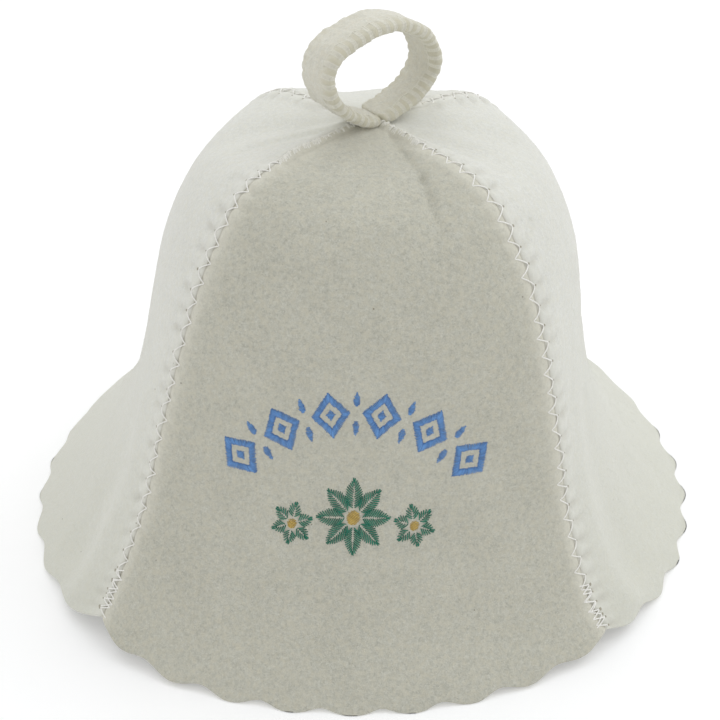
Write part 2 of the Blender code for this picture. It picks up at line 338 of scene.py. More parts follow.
def dents(index, across, share):
    """How far the dents push the wall in; they end before the seams."""
    depth = sum(row["depth"] * bell(across - row["across"], row["half_across"])
                * bell(share - row["share"], row["half_share"])
                for row in named_rows(DENTS, DENT_COLUMNS) if row["wedge"] == wedge(index)["name"])
    return depth * (1.0 - across ** 2)


def lumps(points):
    """Soft unevenness of the felt, from noise at a few sizes."""
    return np.array([sum(row["height"] * noise.noise(Vector(point / row["size"]))
                         for row in named_rows(LUMPS, LUMP_COLUMNS)) for point in points])


def folds(index, across, share):
    """How far the folds press the wall in: each is a soft valley along a straight line on the wall."""
    x, up = across * profile("seam_radius", share) / math.sqrt(2.0), share * WEDGE_LENGTH
    depth = np.zeros_like(x)
    for row in named_rows(FOLDS, FOLD_COLUMNS):
        if row["wedge"] == wedge(index)["name"]:
            run, rise = row["to_x"] - row["from_x"], row["to_up"] - row["from_up"]
            along = ((x - row["from_x"]) * run + (up - row["from_up"]) * rise) / (run * run + rise * rise)
            kept = np.clip(along, 0.0, 1.0)
            beside = np.hypot(x - row["from_x"] - run * kept, up - row["from_up"] - rise * kept)
            depth += row["depth"] * bell(beside, row["half_width"]) * (1.0 - FOLD_TAPER * kept)
    return depth


MIDDLE, LEVELS = np.zeros(3), np.array([0.3, 0.6, 0.9])
print("dents up the middle of the front wedge:", dents(0, MIDDLE, LEVELS).round(2).tolist(), "mm")

# %% [markdown]
# Beside a seam the felt is busier. Its edge rolls into the seam, a soft ridge runs along it, each needle
# hole pinches it and each stitch puckers it a little further out. Near the apex the edges were sewn so
# tightly that the seam stands up as a crest. All of it is a height above the smooth wall, worked out
# from the distance to the seam and from the list of needle holes, so that the thread and the felt
# agree. Bump in a material would be less work, but it would leave the outline and the threads flat.

# %% The felt beside its seams
ROLL_DEPTH, ROLL_REACH = 1.1, 1.5           # the felt's edge dips into the seam
RIDGE_HEIGHT, RIDGE_AT, RIDGE_REACH = 0.45, 5.4, 2.4
CREST_HEIGHT, CREST_AT, CREST_REACH = 1.8, 0.6, 1.8     # the seam stands up near the apex
CREST_BEADS, CREST_PITCH = 0.55, 2.7        # share of its height that the tight stitches take away
CREST_RISE = 12.0       # along the seam, until the crest is full
PINCH_DEPTH, PINCH_REACH = 0.25, 1.4
PUCKER_DEPTH, PUCKER_REACH = 0.85, 1.9
PUCKER_FROM, PUCKER_LENGTH = 2.8, 4.0       # puckers lie just outside the holes
PUCKER_SPREAD = (0.3, 1.5)                  # how unequal they are
SEAM_WINDOW, HOLE_WINDOW = 4.0, 3.0         # reaches past which a pucker has died away


def seam_distance(index, across, share):
    """How far each point is from the nearer seam, along the wall."""
    side = np.where(across > 0.0, 1.0, -1.0)
    return np.linalg.norm(wall(index, across, share) - wall(index, side, share), axis=-1)


def crest_share(index, across, share):
    """How full the crest of the nearer seam is, from 0 to 1, and how far up the seam each point is."""
    lengths = np.interp(share, *seam_length_at(index))
    start = np.where(across > 0.0, CREST_FROM[index % len(WEDGES)], CREST_FROM[(index - 1) % len(WEDGES)])
    return np.clip((lengths - start) / CREST_RISE, 0.0, 1.0), lengths


def needle_press(index, across, share):
    """How far the needle holes pinch the felt in, and how far it puckers outside them."""
    distance = seam_distance(index, across, share)
    pinch, pucker = np.zeros_like(distance), np.zeros_like(distance)
    for side, seam in ((1.0, index), (-1.0, (index - 1) % len(WEDGES))):
        shares, lengths = seam_length_at(seam)
        near = np.flatnonzero((across * side > 0.0) & (distance < PUCKER_LENGTH * SEAM_WINDOW))
        up = np.interp(share[near], shares, lengths)
        strengths = np.random.default_rng(seam).uniform(*PUCKER_SPREAD, len(HOLES[seam]))
        for (hole_side, hole_share, bite), strength in zip(HOLES[seam], strengths):
            if hole_side == -side:
                along = up - np.interp(hole_share, shares, lengths)
                close = np.abs(along) < PUCKER_REACH * HOLE_WINDOW
                places, beside = near[close], distance[near[close]] - bite
                pinch[places] += bell(along[close], PINCH_REACH) * bell(beside, PINCH_REACH)
                outside = bell(beside - PUCKER_FROM, PUCKER_LENGTH)
                pucker[places] += strength * bell(along[close], PUCKER_REACH) * outside
    return pinch, pucker


def seam_relief(index, across, share):
    """Height of the felt beside its seams: rolled edge, soft ridge, crest, pinches and puckers."""
    distance = seam_distance(index, across, share)
    crest, lengths = crest_share(index, across, share)
    pinch, pucker = needle_press(index, across, share)
    height = -ROLL_DEPTH * bell(distance, ROLL_REACH) * (1.0 - crest)
    height += RIDGE_HEIGHT * bell(distance - RIDGE_AT, RIDGE_REACH)
    beads = 1.0 - CREST_BEADS * (0.5 + 0.5 * np.cos(2.0 * math.pi * (lengths + across) / CREST_PITCH))
    height += CREST_HEIGHT * crest * beads * bell(distance - CREST_AT, CREST_REACH)
    return height - (PINCH_DEPTH * pinch + PUCKER_DEPTH * pucker) * (1.0 - crest)


print("relief on the front wedge's middle and at its seam:",
      seam_relief(0, np.array([0.0, 1.0]), np.array([0.5, 0.5])).round(2).tolist(), "mm")

# %% [markdown]
# The outer side of the felt is the smooth wall with all of this relief on it. The cut edge of the brim
# is rounded, and at the apex the felt is drawn up to the foot of the loop, whose ends were caught in
# the seam. The thickness is measured square to the wall, except at a seam, where both wedges use the
# same mitred direction, so that they meet without a gap on the inside.

# %% The felt's outer side
EDGE_RADIUS = 1.2       # of the brim's soft cut edge
APEX_RISE, APEX_RISE_REACH = 1.9, 12.0
LUMP_REACH, LUMP_LEAST = 3.0, 0.2           # the unevenness is less beside a seam


def edge_relief(share):
    """The brim's cut edge is rounded on both of its sides."""
    reach = np.clip(EDGE_RADIUS - share * WEDGE_LENGTH, 0.0, EDGE_RADIUS)
    return EDGE_RADIUS - np.sqrt(EDGE_RADIUS ** 2 - reach ** 2)


def outer_felt(index, across, share):
    """Points of the felt's outer side, with all its relief."""
    points = wall(index, across, share)
    height = seam_relief(index, across, share) - dents(index, across, share) - edge_relief(share)
    height -= folds(index, across, share)
    height += APEX_RISE * bell((1.0 - share) * WEDGE_LENGTH, APEX_RISE_REACH)
    height += lumps(points) * np.clip(seam_distance(index, across, share) / LUMP_REACH, LUMP_LEAST, 1.0)
    return points + felt_direction(index, across, share) * height[..., None]


def felt_direction(index, across, share):
    """The direction of the felt's thickness: the wall's normal, or the mitre's at a seam."""
    own = wall_normal(index, across, share)
    side = np.where(across > 0.0, 1, -1)
    neighbour = np.where((side > 0)[..., None], wall_normal(index + 1, -np.ones_like(across), share),
                         wall_normal(index - 1, np.ones_like(across), share))
    at_seam = wall_normal(index, side.astype(float), share)
    mitre = unit(at_seam + neighbour)
    mitre = mitre / np.sum(mitre * at_seam, axis=-1, keepdims=True)
    weight = bell(seam_distance(index, across, share), WALL)[..., None]
    return own * (1.0 - weight) + mitre * weight


print("felt at the middle of the front wedge:",
      settled(outer_felt(0, np.array([0.0]), np.array([0.5])))[0].round(4).tolist())

# %% [markdown]
# A felt wedge is a flat sheet that takes its bell shape from its two seams. It could be a plain grid
# with a Solidify modifier, but then the sheets would cut through each other at the seams. So a flat
# slab is made first: a grid, extruded once for its thickness. Its columns crowd towards the seams,
# where the small forms are.

# %% A flat slab
COLUMNS = 150
ROWS = 228
EDGE_CROWDING = 0.6     # how much closer the columns are at the seams
EDGE_STEPS = (0.0, 0.3, 0.8, 1.5)           # the first rows, up from the cut edge


def deselect():
    """Back to object mode, with nothing selected."""
    if bpy.context.object is not None and bpy.context.object.mode != "OBJECT":
        bpy.ops.object.mode_set(mode="OBJECT")
    bpy.ops.object.select_all(action="DESELECT")


def points_of(piece):
    """The places of a piece's vertices, as an array."""
    flat = np.empty(len(piece.data.vertices) * 3)
    piece.data.vertices.foreach_get("co", flat)
    return flat.reshape(-1, 3)


def move_points(piece, points):
    """Put a piece's vertices at these places."""
    piece.data.vertices.foreach_set("co", np.asarray(points, dtype=np.float32).ravel())
    piece.data.update()


def mark(piece, name, values):
    """Keep a number at each vertex, which a finish reads as a share of another colour."""
    layer = piece.data.attributes.new(name, "FLOAT", "POINT")
    layer.data.foreach_set("value", np.asarray(values, dtype=np.float32))


def flat_slab(name):
    """A flat sheet 2 by 2 with a thickness of 1 downwards."""
    deselect()
    bpy.ops.mesh.primitive_grid_add(x_subdivisions=COLUMNS, y_subdivisions=ROWS, size=2.0)
    slab = bpy.context.object
    slab.name = slab.data.name = name
    bpy.ops.object.mode_set(mode="EDIT")
    bpy.ops.mesh.select_all(action="SELECT")
    bpy.ops.mesh.extrude_region_move(TRANSFORM_OT_translate={"value": (0.0, 0.0, -1.0)})
    bpy.ops.object.mode_set(mode="OBJECT")
    return slab


def felt_places(flat):
    """Across and up for a point of the flat slab, crowded at the seams and at the brim's edge."""
    across = np.clip(flat[:, 0] + EDGE_CROWDING * np.sin(math.pi * flat[:, 0]) / math.pi, -1.0, 1.0)
    row = np.round((flat[:, 1] + 1.0) / 2.0 * ROWS)
    first = len(EDGE_STEPS) - 1
    even = EDGE_STEPS[-1] + (WEDGE_LENGTH - EDGE_STEPS[-1]) * (row - first) / (ROWS - first)
    up = np.where(row < first, np.interp(row, range(len(EDGE_STEPS)), EDGE_STEPS), even)
    return across, up / WEDGE_LENGTH


print("a slab has", COLUMNS, "by", ROWS, "faces on each of its two sides")

# %% [markdown]
# The slab is then laid on the wall: its upper side becomes the outer side of the felt, and its lower
# side lies at the felt's thickness inwards. Two numbers are kept at each vertex, for the finish to read:
# how much of the paler tone beside a seam the felt has, with painted light near the apex and on the
# crest, and how much painted shade.

# %% Lay the felt
SEAM_GAP = 0.05
SEAM_EDGE = 1e-6        # how close to a seam a vertex belongs to the edge
SEAM_TINT, SEAM_TINT_REACH = 0.8, (6.5, 4.6, 4.6, 4.6)      # the felt is lighter beside the seams
# painted light near the apex, which lightens the shade under the loop's foot
APEX_PAINTED_LIGHT_REACH = 15.0
GROOVE_SHADE, GROOVE_REACH = 0.32, 0.7      # and darker in the groove between two wedges
# painted light, which makes the crest's ridge paler
CREST_PAINTED_LIGHT, CREST_PAINTED_LIGHT_REACH = 0.95, 3.2
CREST_SHADE, CREST_SHADE_AT, CREST_SHADE_REACH = 0.35, 3.0, 0.7     # along the outer foot of the crest
FRONT_SHADE_SHARE = 0.4                     # the front wedge's side of the crest is less shaded
PUCKER_SHADE = 0.20
RESTING_EDGE = 0.0004   # the thickness of the cut edge where the hat rests on it, in metres


def lay_felt(index):
    """One wedge of felt, from a flat slab laid on the wall."""
    panel = flat_slab(wedge(index)["name"].replace("panel", "felt"))
    flat = points_of(panel)
    across, share = felt_places(flat)
    outer = outer_felt(index, across, share)
    thickness = WALL - 2.0 * edge_relief(share)
    inner = flat[:, 2] < -0.5
    depth = np.where(inner, thickness, 0.0)[:, None]
    points = outer - felt_direction(index, across, share) * depth
    sideways = unit(wall_slopes(index, across, share)[0])
    at_seam = np.abs(across) > 1.0 - SEAM_EDGE
    inset = np.where(at_seam, -np.sign(across) * SEAM_GAP / 2.0, 0.0)[:, None]
    placed = settled(points + sideways * inset)
    placed[:, 2] = np.maximum(placed[:, 2], np.where(inner, 0.0, RESTING_EDGE))
    move_points(panel, placed)
    distance = seam_distance(index, across, share)
    # the paler felt beside a seam, and painted light near the apex
    pale_and_painted_light = np.maximum(bell(distance, SEAM_TINT_REACH[index]),
                      bell((1.0 - share) * WEDGE_LENGTH, APEX_PAINTED_LIGHT_REACH))
    crest = crest_share(index, across, share)[0]
    # painted light along the crest
    crest_painted_light = CREST_PAINTED_LIGHT * crest * bell(distance, CREST_PAINTED_LIGHT_REACH)
    mark(panel, "tint_and_painted_shading", np.maximum(SEAM_TINT * pale_and_painted_light, crest_painted_light))
    pucker = np.minimum(1.0, needle_press(index, across, share)[1]) * (1.0 - crest)
    foot = CREST_SHADE * crest * bell(distance - CREST_SHADE_AT, CREST_SHADE_REACH)
    beside = PUCKER_SHADE * pucker + foot if index else FRONT_SHADE_SHARE * foot
    mark(panel, "shaded", GROOVE_SHADE * bell(distance, GROOVE_REACH) * (1.0 - crest) + beside)
    return panel


panels = [lay_felt(index) for index in range(len(WEDGES))]
for panel in panels:
    print(panel.name, len(panel.data.polygons) * 2, "triangles",
          [round(side, 4) for side in panel.dimensions])

# %% [markdown]
# At the apex a whole row of the slab has come together in one tip, so its vertices are merged there.
# The faces are then turned outwards, because extruding a grid downwards can leave them inside out, and
# shaded smoothly everywhere but at sharp corners.

# %% Close the tips and shade the felt
SHARP_ANGLE = math.radians(50.0)
TIP_MERGE = 4e-5


def tidy_mesh(piece, merge):
    """Merge doubles, turn the faces outwards and shade smoothly."""
    deselect()
    piece.select_set(True)
    bpy.context.view_layer.objects.active = piece
    bpy.ops.object.mode_set(mode="EDIT")
    bpy.ops.mesh.select_all(action="SELECT")
    bpy.ops.mesh.remove_doubles(threshold=merge)
    bpy.ops.mesh.normals_make_consistent(inside=False)
    bpy.ops.object.mode_set(mode="OBJECT")
    bpy.ops.object.shade_smooth_by_angle(angle=SHARP_ANGLE)


for panel in panels:
    tidy_mesh(panel, TIP_MERGE)
print("after merging:", [len(panel.data.polygons) for panel in panels])

# %% [markdown]
# A finish is a small network of shader nodes. To keep the sums readable, one class holds a socket and
# turns arithmetic on it into Math nodes, and another adds any other node from its type, its settings
# and its inputs. A third one builds on that for a material, with the few patterns that wool and thread
# are made of.

# %% Shader sums as Python
class Wire:
    """A socket that carries a number through a shader."""

    def __init__(self, nodes, socket):
        self.nodes = nodes
        self.socket = socket

    def _math(self, operation, other):
        return self.nodes.add("ShaderNodeMath", {"operation": operation}, {0: self, 1: other})

    def __add__(self, other):
        return self._math("ADD", other)

    def __mul__(self, other):
        return self._math("MULTIPLY", other)

    __radd__ = __add__
    __rmul__ = __mul__


class Nodes:
    """The nodes of a material or of the room."""

    def __init__(self, tree):
        self.tree = tree

    def add(self, kind, settings, inputs, output=0):
        """Any node: its settings are set first, then its inputs are given values or links."""
        node = self.tree.nodes.new(kind)
        for name, value in settings.items():
            setattr(node, name, value)
        for key, value in inputs.items():
            self.feed(node.inputs[key], value)
        return Wire(self, node.outputs[output])

    def feed(self, socket, value):
        """Give a socket a link or a plain value."""
        if isinstance(value, Wire):
            self.tree.links.new(value.socket, socket)
        else:
            socket.default_value = value


class Finish(Nodes):
    """A material under construction."""

    def __init__(self, name, **constants):
        self.material = bpy.data.materials.new(name)
        self.material.use_nodes = True
        super().__init__(self.material.node_tree)
        self.shader = self.tree.nodes["Principled BSDF"]
        for socket, value in constants.items():
            self.shader.inputs[socket.replace("_", " ")].default_value = value

    def place(self):
        """The point of the surface, in metres."""
        return self.add("ShaderNodeTexCoord", {}, {}, "Object")

    def noise(self, size, detail=2.0, rough=0.5):
        """Noise whose spots are about this many millimetres wide."""
        return self.add("ShaderNodeTexNoise", {}, {"Vector": self.place(), "Scale": 1.0 / (size * MM),
                                                   "Detail": detail, "Roughness": rough}, "Fac")

    def kept(self, name):
        """The number that was kept at each vertex under this name."""
        return self.add("ShaderNodeAttribute", {"attribute_name": name}, {}, "Fac")

    def mix(self, factor, first, second):
        """A blend of two colours."""
        return self.add("ShaderNodeMix", {"data_type": "RGBA"}, {"Factor": factor, 6: first, 7: second}, 2)

    def spread(self, value, low, high):
        """A value between two limits, brought to 0 to 1."""
        return self.add("ShaderNodeMapRange", {}, {"Value": value, "From Min": low, "From Max": high},
                        "Result")

    def dress(self, color, roughness, height, depth, strength):
        """Colour, roughness, and bump from a height of 0 to 1 that is this many millimetres deep."""
        bump = self.add("ShaderNodeBump", {}, {"Height": height, "Distance": depth * MM,
                                               "Strength": strength}, "Normal")
        for socket, value in (("Base Color", color), ("Roughness", roughness), ("Normal", bump)):
            self.feed(self.shader.inputs[socket], value)
        return self.material


def rgb(red, green, blue):
    """An opaque colour."""
    return red, green, blue, 1.0


trial = Finish("trial")
trial.feed(trial.shader.inputs["Roughness"], trial.noise(1.0) * 0.5 + trial.noise(2.0) * 0.5)
print("a sum of two noises takes", len(trial.tree.nodes), "nodes, with the shader and its output")
bpy.data.materials.remove(trial.material)


# %% [markdown]
# Wool felt is matted fibre, so nothing on it is one colour: cloudy patches of a centimetre or two,
# a fine mottle of 1 to 3 mm where lighter and darker wool lie side by side, and now and then a dark
# speck of chaff. Its nap scatters light at grazing angles, which the sheen does. The front wedge of
# this hat is cut from a slightly greyer sheet, and painted shade darkens it further, so the same finish
# is made in two tones.

# %% Felt finish
CLOUD, MOTTLE, GRAIN = (24.0, 3.0, 0.55), (1.7, 4.0, 0.7), (0.7, 3.0, 0.75)     # size, detail, roughness
CLOUD_SHARE, MOTTLE_SHARE, GRAIN_SHARE = 0.18, 0.65, 0.67
WOOL_RANGE = (0.52, 0.98)       # of the three together, from the dark wool to the light
WARM_PATCH, WARM_RANGE, WARM_SHARE = (2.4, 4.0, 0.7), (0.42, 0.66), 0.6
BRIM_PAINTED_SHADE_HEIGHTS, BRIM_PAINTED_SHADE = (0.15, 0.0), 0.5     # painted shade: the side wedges are darker and yellower towards the brim
TINT_MOTTLE, TINT_EVEN = 0.8, 0.5       # shares of a tint that follow the mottle, and that don't
SPECK_SPACING, SPECK_RANGE = 15.0, (0.030, 0.016)
FELT_ROUGHNESS, MOTTLE_ROUGHNESS = 0.88, 0.12
NAP_DEPTH, NAP_STRENGTH = 0.6, 0.8


def felt_finish(name, light, dark, chaff_and_painted_shade, tint_and_painted_shading_color=None, warm=None, brim=None):
    """Mottled wool felt between a light and a dark tone.

    Of the other colours, the first is that of chaff and of painted shade, the second that of the paler
    felt beside a seam, of painted light at the apex and on the crests and of painted shade in the loop's
    pockets, warm that of stray yellower wool, and brim that of the painted shade, darker and yellower,
    that the felt takes on towards the floor.
    """
    felt = Finish(name, Metallic=0.0, Sheen_Weight=0.35, Sheen_Roughness=0.5, Specular_IOR_Level=0.15)
    clouds, mottle, grain = (felt.noise(*pattern) for pattern in (CLOUD, MOTTLE, GRAIN))
    mingled = clouds * CLOUD_SHARE + mottle * MOTTLE_SHARE + grain * GRAIN_SHARE
    wool = felt.mix(felt.spread(mingled, *WOOL_RANGE), dark, light)
    if warm:
        wool = felt.mix(felt.spread(felt.noise(*WARM_PATCH), *WARM_RANGE) * WARM_SHARE, wool, warm)
    # painted shade: the felt turns darker and yellower towards the floor
    if brim:
        height = felt.add("ShaderNodeSeparateXYZ", {}, {"Vector": felt.place()}, "Z")
        wool = felt.mix(felt.spread(height, *BRIM_PAINTED_SHADE_HEIGHTS) * BRIM_PAINTED_SHADE, wool, brim)
    if tint_and_painted_shading_color:
        # the paler tint beside the seams, with painted light at the apex and on the crests; on the loop,
        # painted shade in its pockets and along its fold
        wool = felt.mix(felt.kept("tint_and_painted_shading") * (mottle * TINT_MOTTLE + TINT_EVEN), wool, tint_and_painted_shading_color)
        # painted shade in the groove, along the crest's foot and beside the puckers, in the colour of chaff
        wool = felt.mix(felt.kept("shaded"), wool, chaff_and_painted_shade)
    specks = felt.add("ShaderNodeTexVoronoi", {}, {"Vector": felt.place(),
                                                   "Scale": 1.0 / (SPECK_SPACING * MM)}, "Distance")
    wool = felt.mix(felt.spread(specks, *SPECK_RANGE), wool, chaff_and_painted_shade)
    return felt.dress(wool, mottle * MOTTLE_ROUGHNESS + FELT_ROUGHNESS, mottle * 0.5 + grain * 0.5,
                      NAP_DEPTH, NAP_STRENGTH)


side_felt = felt_finish("felt_cream", light=rgb(0.775, 0.777, 0.73), dark=rgb(0.60, 0.60, 0.545),
                        chaff_and_painted_shade=rgb(0.33, 0.30, 0.24), tint_and_painted_shading_color=rgb(0.74, 0.735, 0.67),
                        warm=rgb(0.70, 0.685, 0.59), brim=rgb(0.595, 0.595, 0.50))
# greyer felt, with painted shade that darkens it further
front_felt = felt_finish("felt_greige", light=rgb(0.612, 0.607, 0.53), dark=rgb(0.37, 0.365, 0.305),
                         chaff_and_painted_shade=rgb(0.24, 0.22, 0.17), tint_and_painted_shading_color=rgb(0.69, 0.67, 0.575),
                         warm=rgb(0.575, 0.545, 0.435))
for panel in panels:
    panel.data.materials.append(front_felt if panel.name == "front_felt" else side_felt)
print("felt finishes:", side_felt.name, front_felt.name)

# %% [markdown]
# A thread on the real hat is two plies twisted together, about 0.6 mm thick, pulled taut from hole to
# hole. One strand is modelled: a thin eight-sided rod, cut into short lengths along itself. Every
# stitch is that rod laid between two points, bowed a little where it crosses the rolled edges, its
# ends sunk into the felt. A curve with a bevel would do as well, but hundreds of rods in one mesh stay
# light and each copy keeps its own twist.

# %% One strand, and how it is laid
STRAND_SIDES = 8
STRAND_CUTS = 7
STRAND_MERGE = 1e-7
END_DEPTH = 0.8         # how much deeper a thread's color is at its sunk ends, as painted shade


def model_strand(name, sides, cuts):
    """A rod from 0 to 1 along X with a radius of 1, cut into short lengths."""
    deselect()
    bpy.ops.mesh.primitive_cylinder_add(vertices=sides, radius=1.0, depth=1.0, end_fill_type="TRIFAN",
                                        location=(0.5, 0.0, 0.0), rotation=(0.0, math.pi / 2.0, 0.0))
    rod = bpy.context.object
    rod.name = name
    bpy.ops.object.transform_apply(location=True, rotation=True, scale=True)
    bpy.ops.object.mode_set(mode="EDIT")
    for cut in range(1, cuts):
        bpy.ops.mesh.select_all(action="SELECT")
        bpy.ops.mesh.bisect(plane_co=(cut / cuts, 0.0, 0.0), plane_no=(1.0, 0.0, 0.0))
    bpy.ops.object.mode_set(mode="OBJECT")
    points = points_of(rod)
    faces = [list(face.vertices) for face in rod.data.polygons]
    bpy.data.objects.remove(rod, do_unlink=True)
    return points, faces


def mesh_piece(name, points, faces):
    """A new piece from points in millimetres and faces, tied to no material yet."""
    mesh = bpy.data.meshes.new(name)
    mesh.from_pydata(settled(points).tolist(), [], faces)
    piece = bpy.data.objects.new(name, mesh)
    bpy.context.collection.objects.link(piece)
    return piece


def copied_faces(faces, count, copies):
    """The faces of so many copies of a form that has count points."""
    return [[corner + copy * count for corner in face] for copy in range(copies) for face in faces]


def lay_strands(name, strand, starts, ends, ups, bows, radius, tones=None):
    """One mesh of many copies of a strand, each from its start to its end and bowed upwards.

    Tones are how deep each copy's colour is. The ends, which lie in the felt, are deeper, as painted shade.
    """
    rod, rod_faces = strand
    starts, ends, ups = (np.asarray(rows, dtype=float) for rows in (starts, ends, ups))
    ahead = ends - starts
    length = np.linalg.norm(ahead, axis=1)
    side = unit(np.cross(ups, ahead))
    up = unit(np.cross(ahead, side))
    along = rod[None, :, 0]
    bow = np.broadcast_to(bows, len(starts))[:, None] * 4.0 * along * (1.0 - along)
    points = (starts[:, None] + ahead[:, None] * along[..., None]
              + side[:, None] * (rod[None, :, 1] * radius)[..., None]
              + up[:, None] * (rod[None, :, 2] * radius + bow)[..., None])
    faces = copied_faces(rod_faces, len(rod), len(starts))
    piece = mesh_piece(name, points.reshape(-1, 3), faces)
    run = (along * length[:, None]).ravel()
    turn = np.tile(np.arctan2(rod[:, 2], rod[:, 1]) / (2.0 * math.pi), len(starts))
    corners = np.concatenate([np.array(face) for face in faces])
    layer = piece.data.uv_layers.new(name="plies")
    layer.data.foreach_set("uv", np.stack([run[corners], turn[corners]], axis=-1).ravel())
    if tones is not None:
        deep = np.asarray(tones)[:, None] + (2.0 * along - 1.0) ** 4 * END_DEPTH
        mark(piece, "tint_and_painted_shading", np.clip(deep, 0.0, 1.0).ravel())
    tidy_mesh(piece, STRAND_MERGE)
    return piece


STRAND = model_strand("strand", STRAND_SIDES, STRAND_CUTS)
print("one strand:", len(STRAND[0]), "points,", len(STRAND[1]), "faces")

# %% [markdown]
# The seam thread follows its needle holes. Each hole is a place on one wedge, a few millimetres from
# the seam, and each leg goes from there to the next hole on the other wedge. A taut leg would cut
# through the rolled edges between its holes, so its clearance is measured at a few places and the leg
# is bowed by the least that keeps it above the felt.

# %% Where a leg of thread lies
THREAD_LIFT = 0.10      # how far a leg clears the felt that it crosses
LEG_CHECKS = (0.25, 0.5, 0.75)    # where along a leg its clearance is measured


def hole_places(index, holes):
    """The places of a pass's needle holes on the felt, and the felt's directions there."""
    points, directions = np.empty((len(holes), 3)), np.empty((len(holes), 3))
    for side, number, edge in ((-1, index, 1.0), (1, (index + 1) % len(WEDGES), -1.0)):
        mine = holes[:, 0] == side
        share = holes[mine, 1]
        run = np.linalg.norm(wall_slopes(number, np.full(len(share), edge), share)[0], axis=-1)
        across = edge * (1.0 - holes[mine, 2] / run)
        points[mine] = outer_felt(number, across, share)
        directions[mine] = felt_direction(number, across, share)
    return points, directions


def crossed(index, holes, t):
    """The felt under each leg at a share of its length, and the felt's directions there."""
    signed = holes[:, 0] * holes[:, 2]
    place = signed[:-1] * (1.0 - t) + signed[1:] * t
    share = holes[:-1, 1] * (1.0 - t) + holes[1:, 1] * t
    return hole_places(index, np.stack([np.where(place > 0.0, 1, -1), share, np.abs(place)], axis=-1))


def leg_bows(index, holes, starts, ends, up):
    """The least bow of each leg that keeps it above the felt that it crosses."""
    needed = np.zeros(len(starts))
    for t in LEG_CHECKS:
        rise = np.sum((crossed(index, holes, t)[0] - starts * (1.0 - t) - ends * t) * up, axis=-1)
        needed = np.maximum(needed, (rise + THREAD_LIFT) / (4.0 * t * (1.0 - t)))
    return needed


print("needle holes in the first pass of each seam:", [len(passes[0]) for passes in PASSES])

# %% [markdown]
# Over the crest near the apex a leg can't be one bow, because it climbs one side and falls down the
# other. There it is laid as short lengths that touch the felt at each joint, with its two ends drawn in.

# %% A leg over the crest
CREST_LEG_POINTS = 5    # places at which a leg over the crest touches the felt
CREST_THREAD_SINK = 0.45


def crest_legs(index, holes):
    """Short lengths of thread over the crest, sunk at each leg's ends: their starts, ends and directions."""
    touched = []
    for t in np.linspace(0.0, 1.0, CREST_LEG_POINTS):
        points, directions = crossed(index, holes, t)
        touched.append((points - directions * CREST_THREAD_SINK * (2.0 * t - 1.0) ** 2, directions))
    starts = np.concatenate([points for points, directions in touched[:-1]])
    ends = np.concatenate([points for points, directions in touched[1:]])
    ups = np.concatenate([unit(here[1] + there[1]) for here, there in zip(touched, touched[1:])])
    return starts, ends, ups


print("lengths in a leg over the crest:", CREST_LEG_POINTS - 1)

# %% [markdown]
# Each seam is sewn in its passes, one thread for the whole seam. Outside its stitches, on the side
# wedges, the needle left small dark holes. They are listed here and made further down.

# %% Sew the seams
THREAD_RADIUS = 0.29
THREAD_SINK = 0.15      # how far a leg's ends are below the felt
PIT_ASIDE = 0.4         # how far outside its stitch a needle hole lies


def open_pits(index, holes, directions):
    """Where the needle left an open hole: on the side wedges, below the crest."""
    outwards = holes.copy()
    outwards[:, 2] += PIT_ASIDE
    beside_front = np.where(holes[:, 0] < 0, index, (index + 1) % len(WEDGES)) == 0
    below_crest = np.interp(holes[:, 1], *seam_length_at(index)) < CREST_FROM[index]
    kept = ~beside_front & below_crest
    return hole_places(index, outwards)[0][kept], directions[kept]


def sew(index):
    """The thread of the seam after a wedge, its open needle holes and its legs over the crest."""
    legs, pits, crest = [], [], []
    for holes in PASSES[index]:
        tight = np.interp(holes[:, 1], *seam_length_at(index)) > CREST_FROM[index] + CREST_PASS[-1][0]
        if tight.any():
            crest.append(crest_legs(index, holes[tight]))
        holes = holes[:np.count_nonzero(~tight) + 1]
        places, directions = hole_places(index, holes)
        pits.append(open_pits(index, holes, directions))
        up = unit(directions[:-1] + directions[1:])
        starts, ends = places[:-1] - up * THREAD_SINK, places[1:] - up * THREAD_SINK
        legs.append((starts, ends, up, leg_bows(index, holes, starts, ends, up)))
    legs = [np.concatenate(rows) for rows in zip(*legs)]
    pair = [wedge(number)["name"].split("_")[0] for number in (index, index + 1)]
    print(pair, "bows of", legs[-1].min().round(2), "to", legs[-1].max().round(2), "mm")
    return lay_strands("seam_thread_" + "_".join(pair), STRAND, *legs, THREAD_RADIUS), pits, crest


sewn = [sew(index) for index in range(len(WEDGES))]

# %% [markdown]
# The legs over all four crests make one piece, with a thicker and softer thread than the seams below
# them. A strand with fewer sides and cuts is enough for such short lengths.

# %% Thread over the crests
CREST_THREAD_RADIUS = 0.36
CREST_THREAD_BOW = 0.02
SHORT_SIDES, SHORT_CUTS = 6, 2

SHORT_STRAND = model_strand("short_strand", SHORT_SIDES, SHORT_CUTS)
crest_rows = [legs for thread, pits, crest in sewn for legs in crest]
crest_parts = [np.concatenate(rows) for rows in zip(*crest_rows)]
crest_thread = lay_strands("crest_thread", SHORT_STRAND, *crest_parts, CREST_THREAD_BOW, CREST_THREAD_RADIUS)
seam_threads = [thread for thread, pits, crest in sewn] + [crest_thread]
print({thread.name: len(thread.data.polygons) for thread in seam_threads})

# %% [markdown]
# Each open needle hole is a small flattened ball in a dark colour, the painted shade of the hole, sunk
# half into the surface. A real hole cut into the slab would need many more faces there, and at this
# size only its dark spot shows.
# One ball is added as a primitive, and its points are then copied to every hole, a little larger or
# smaller each time.

# %% Needle holes
PIT_RADIUS, PIT_FLAT = 0.72, 0.3
PIT_SIZES = (0.6, 1.1)

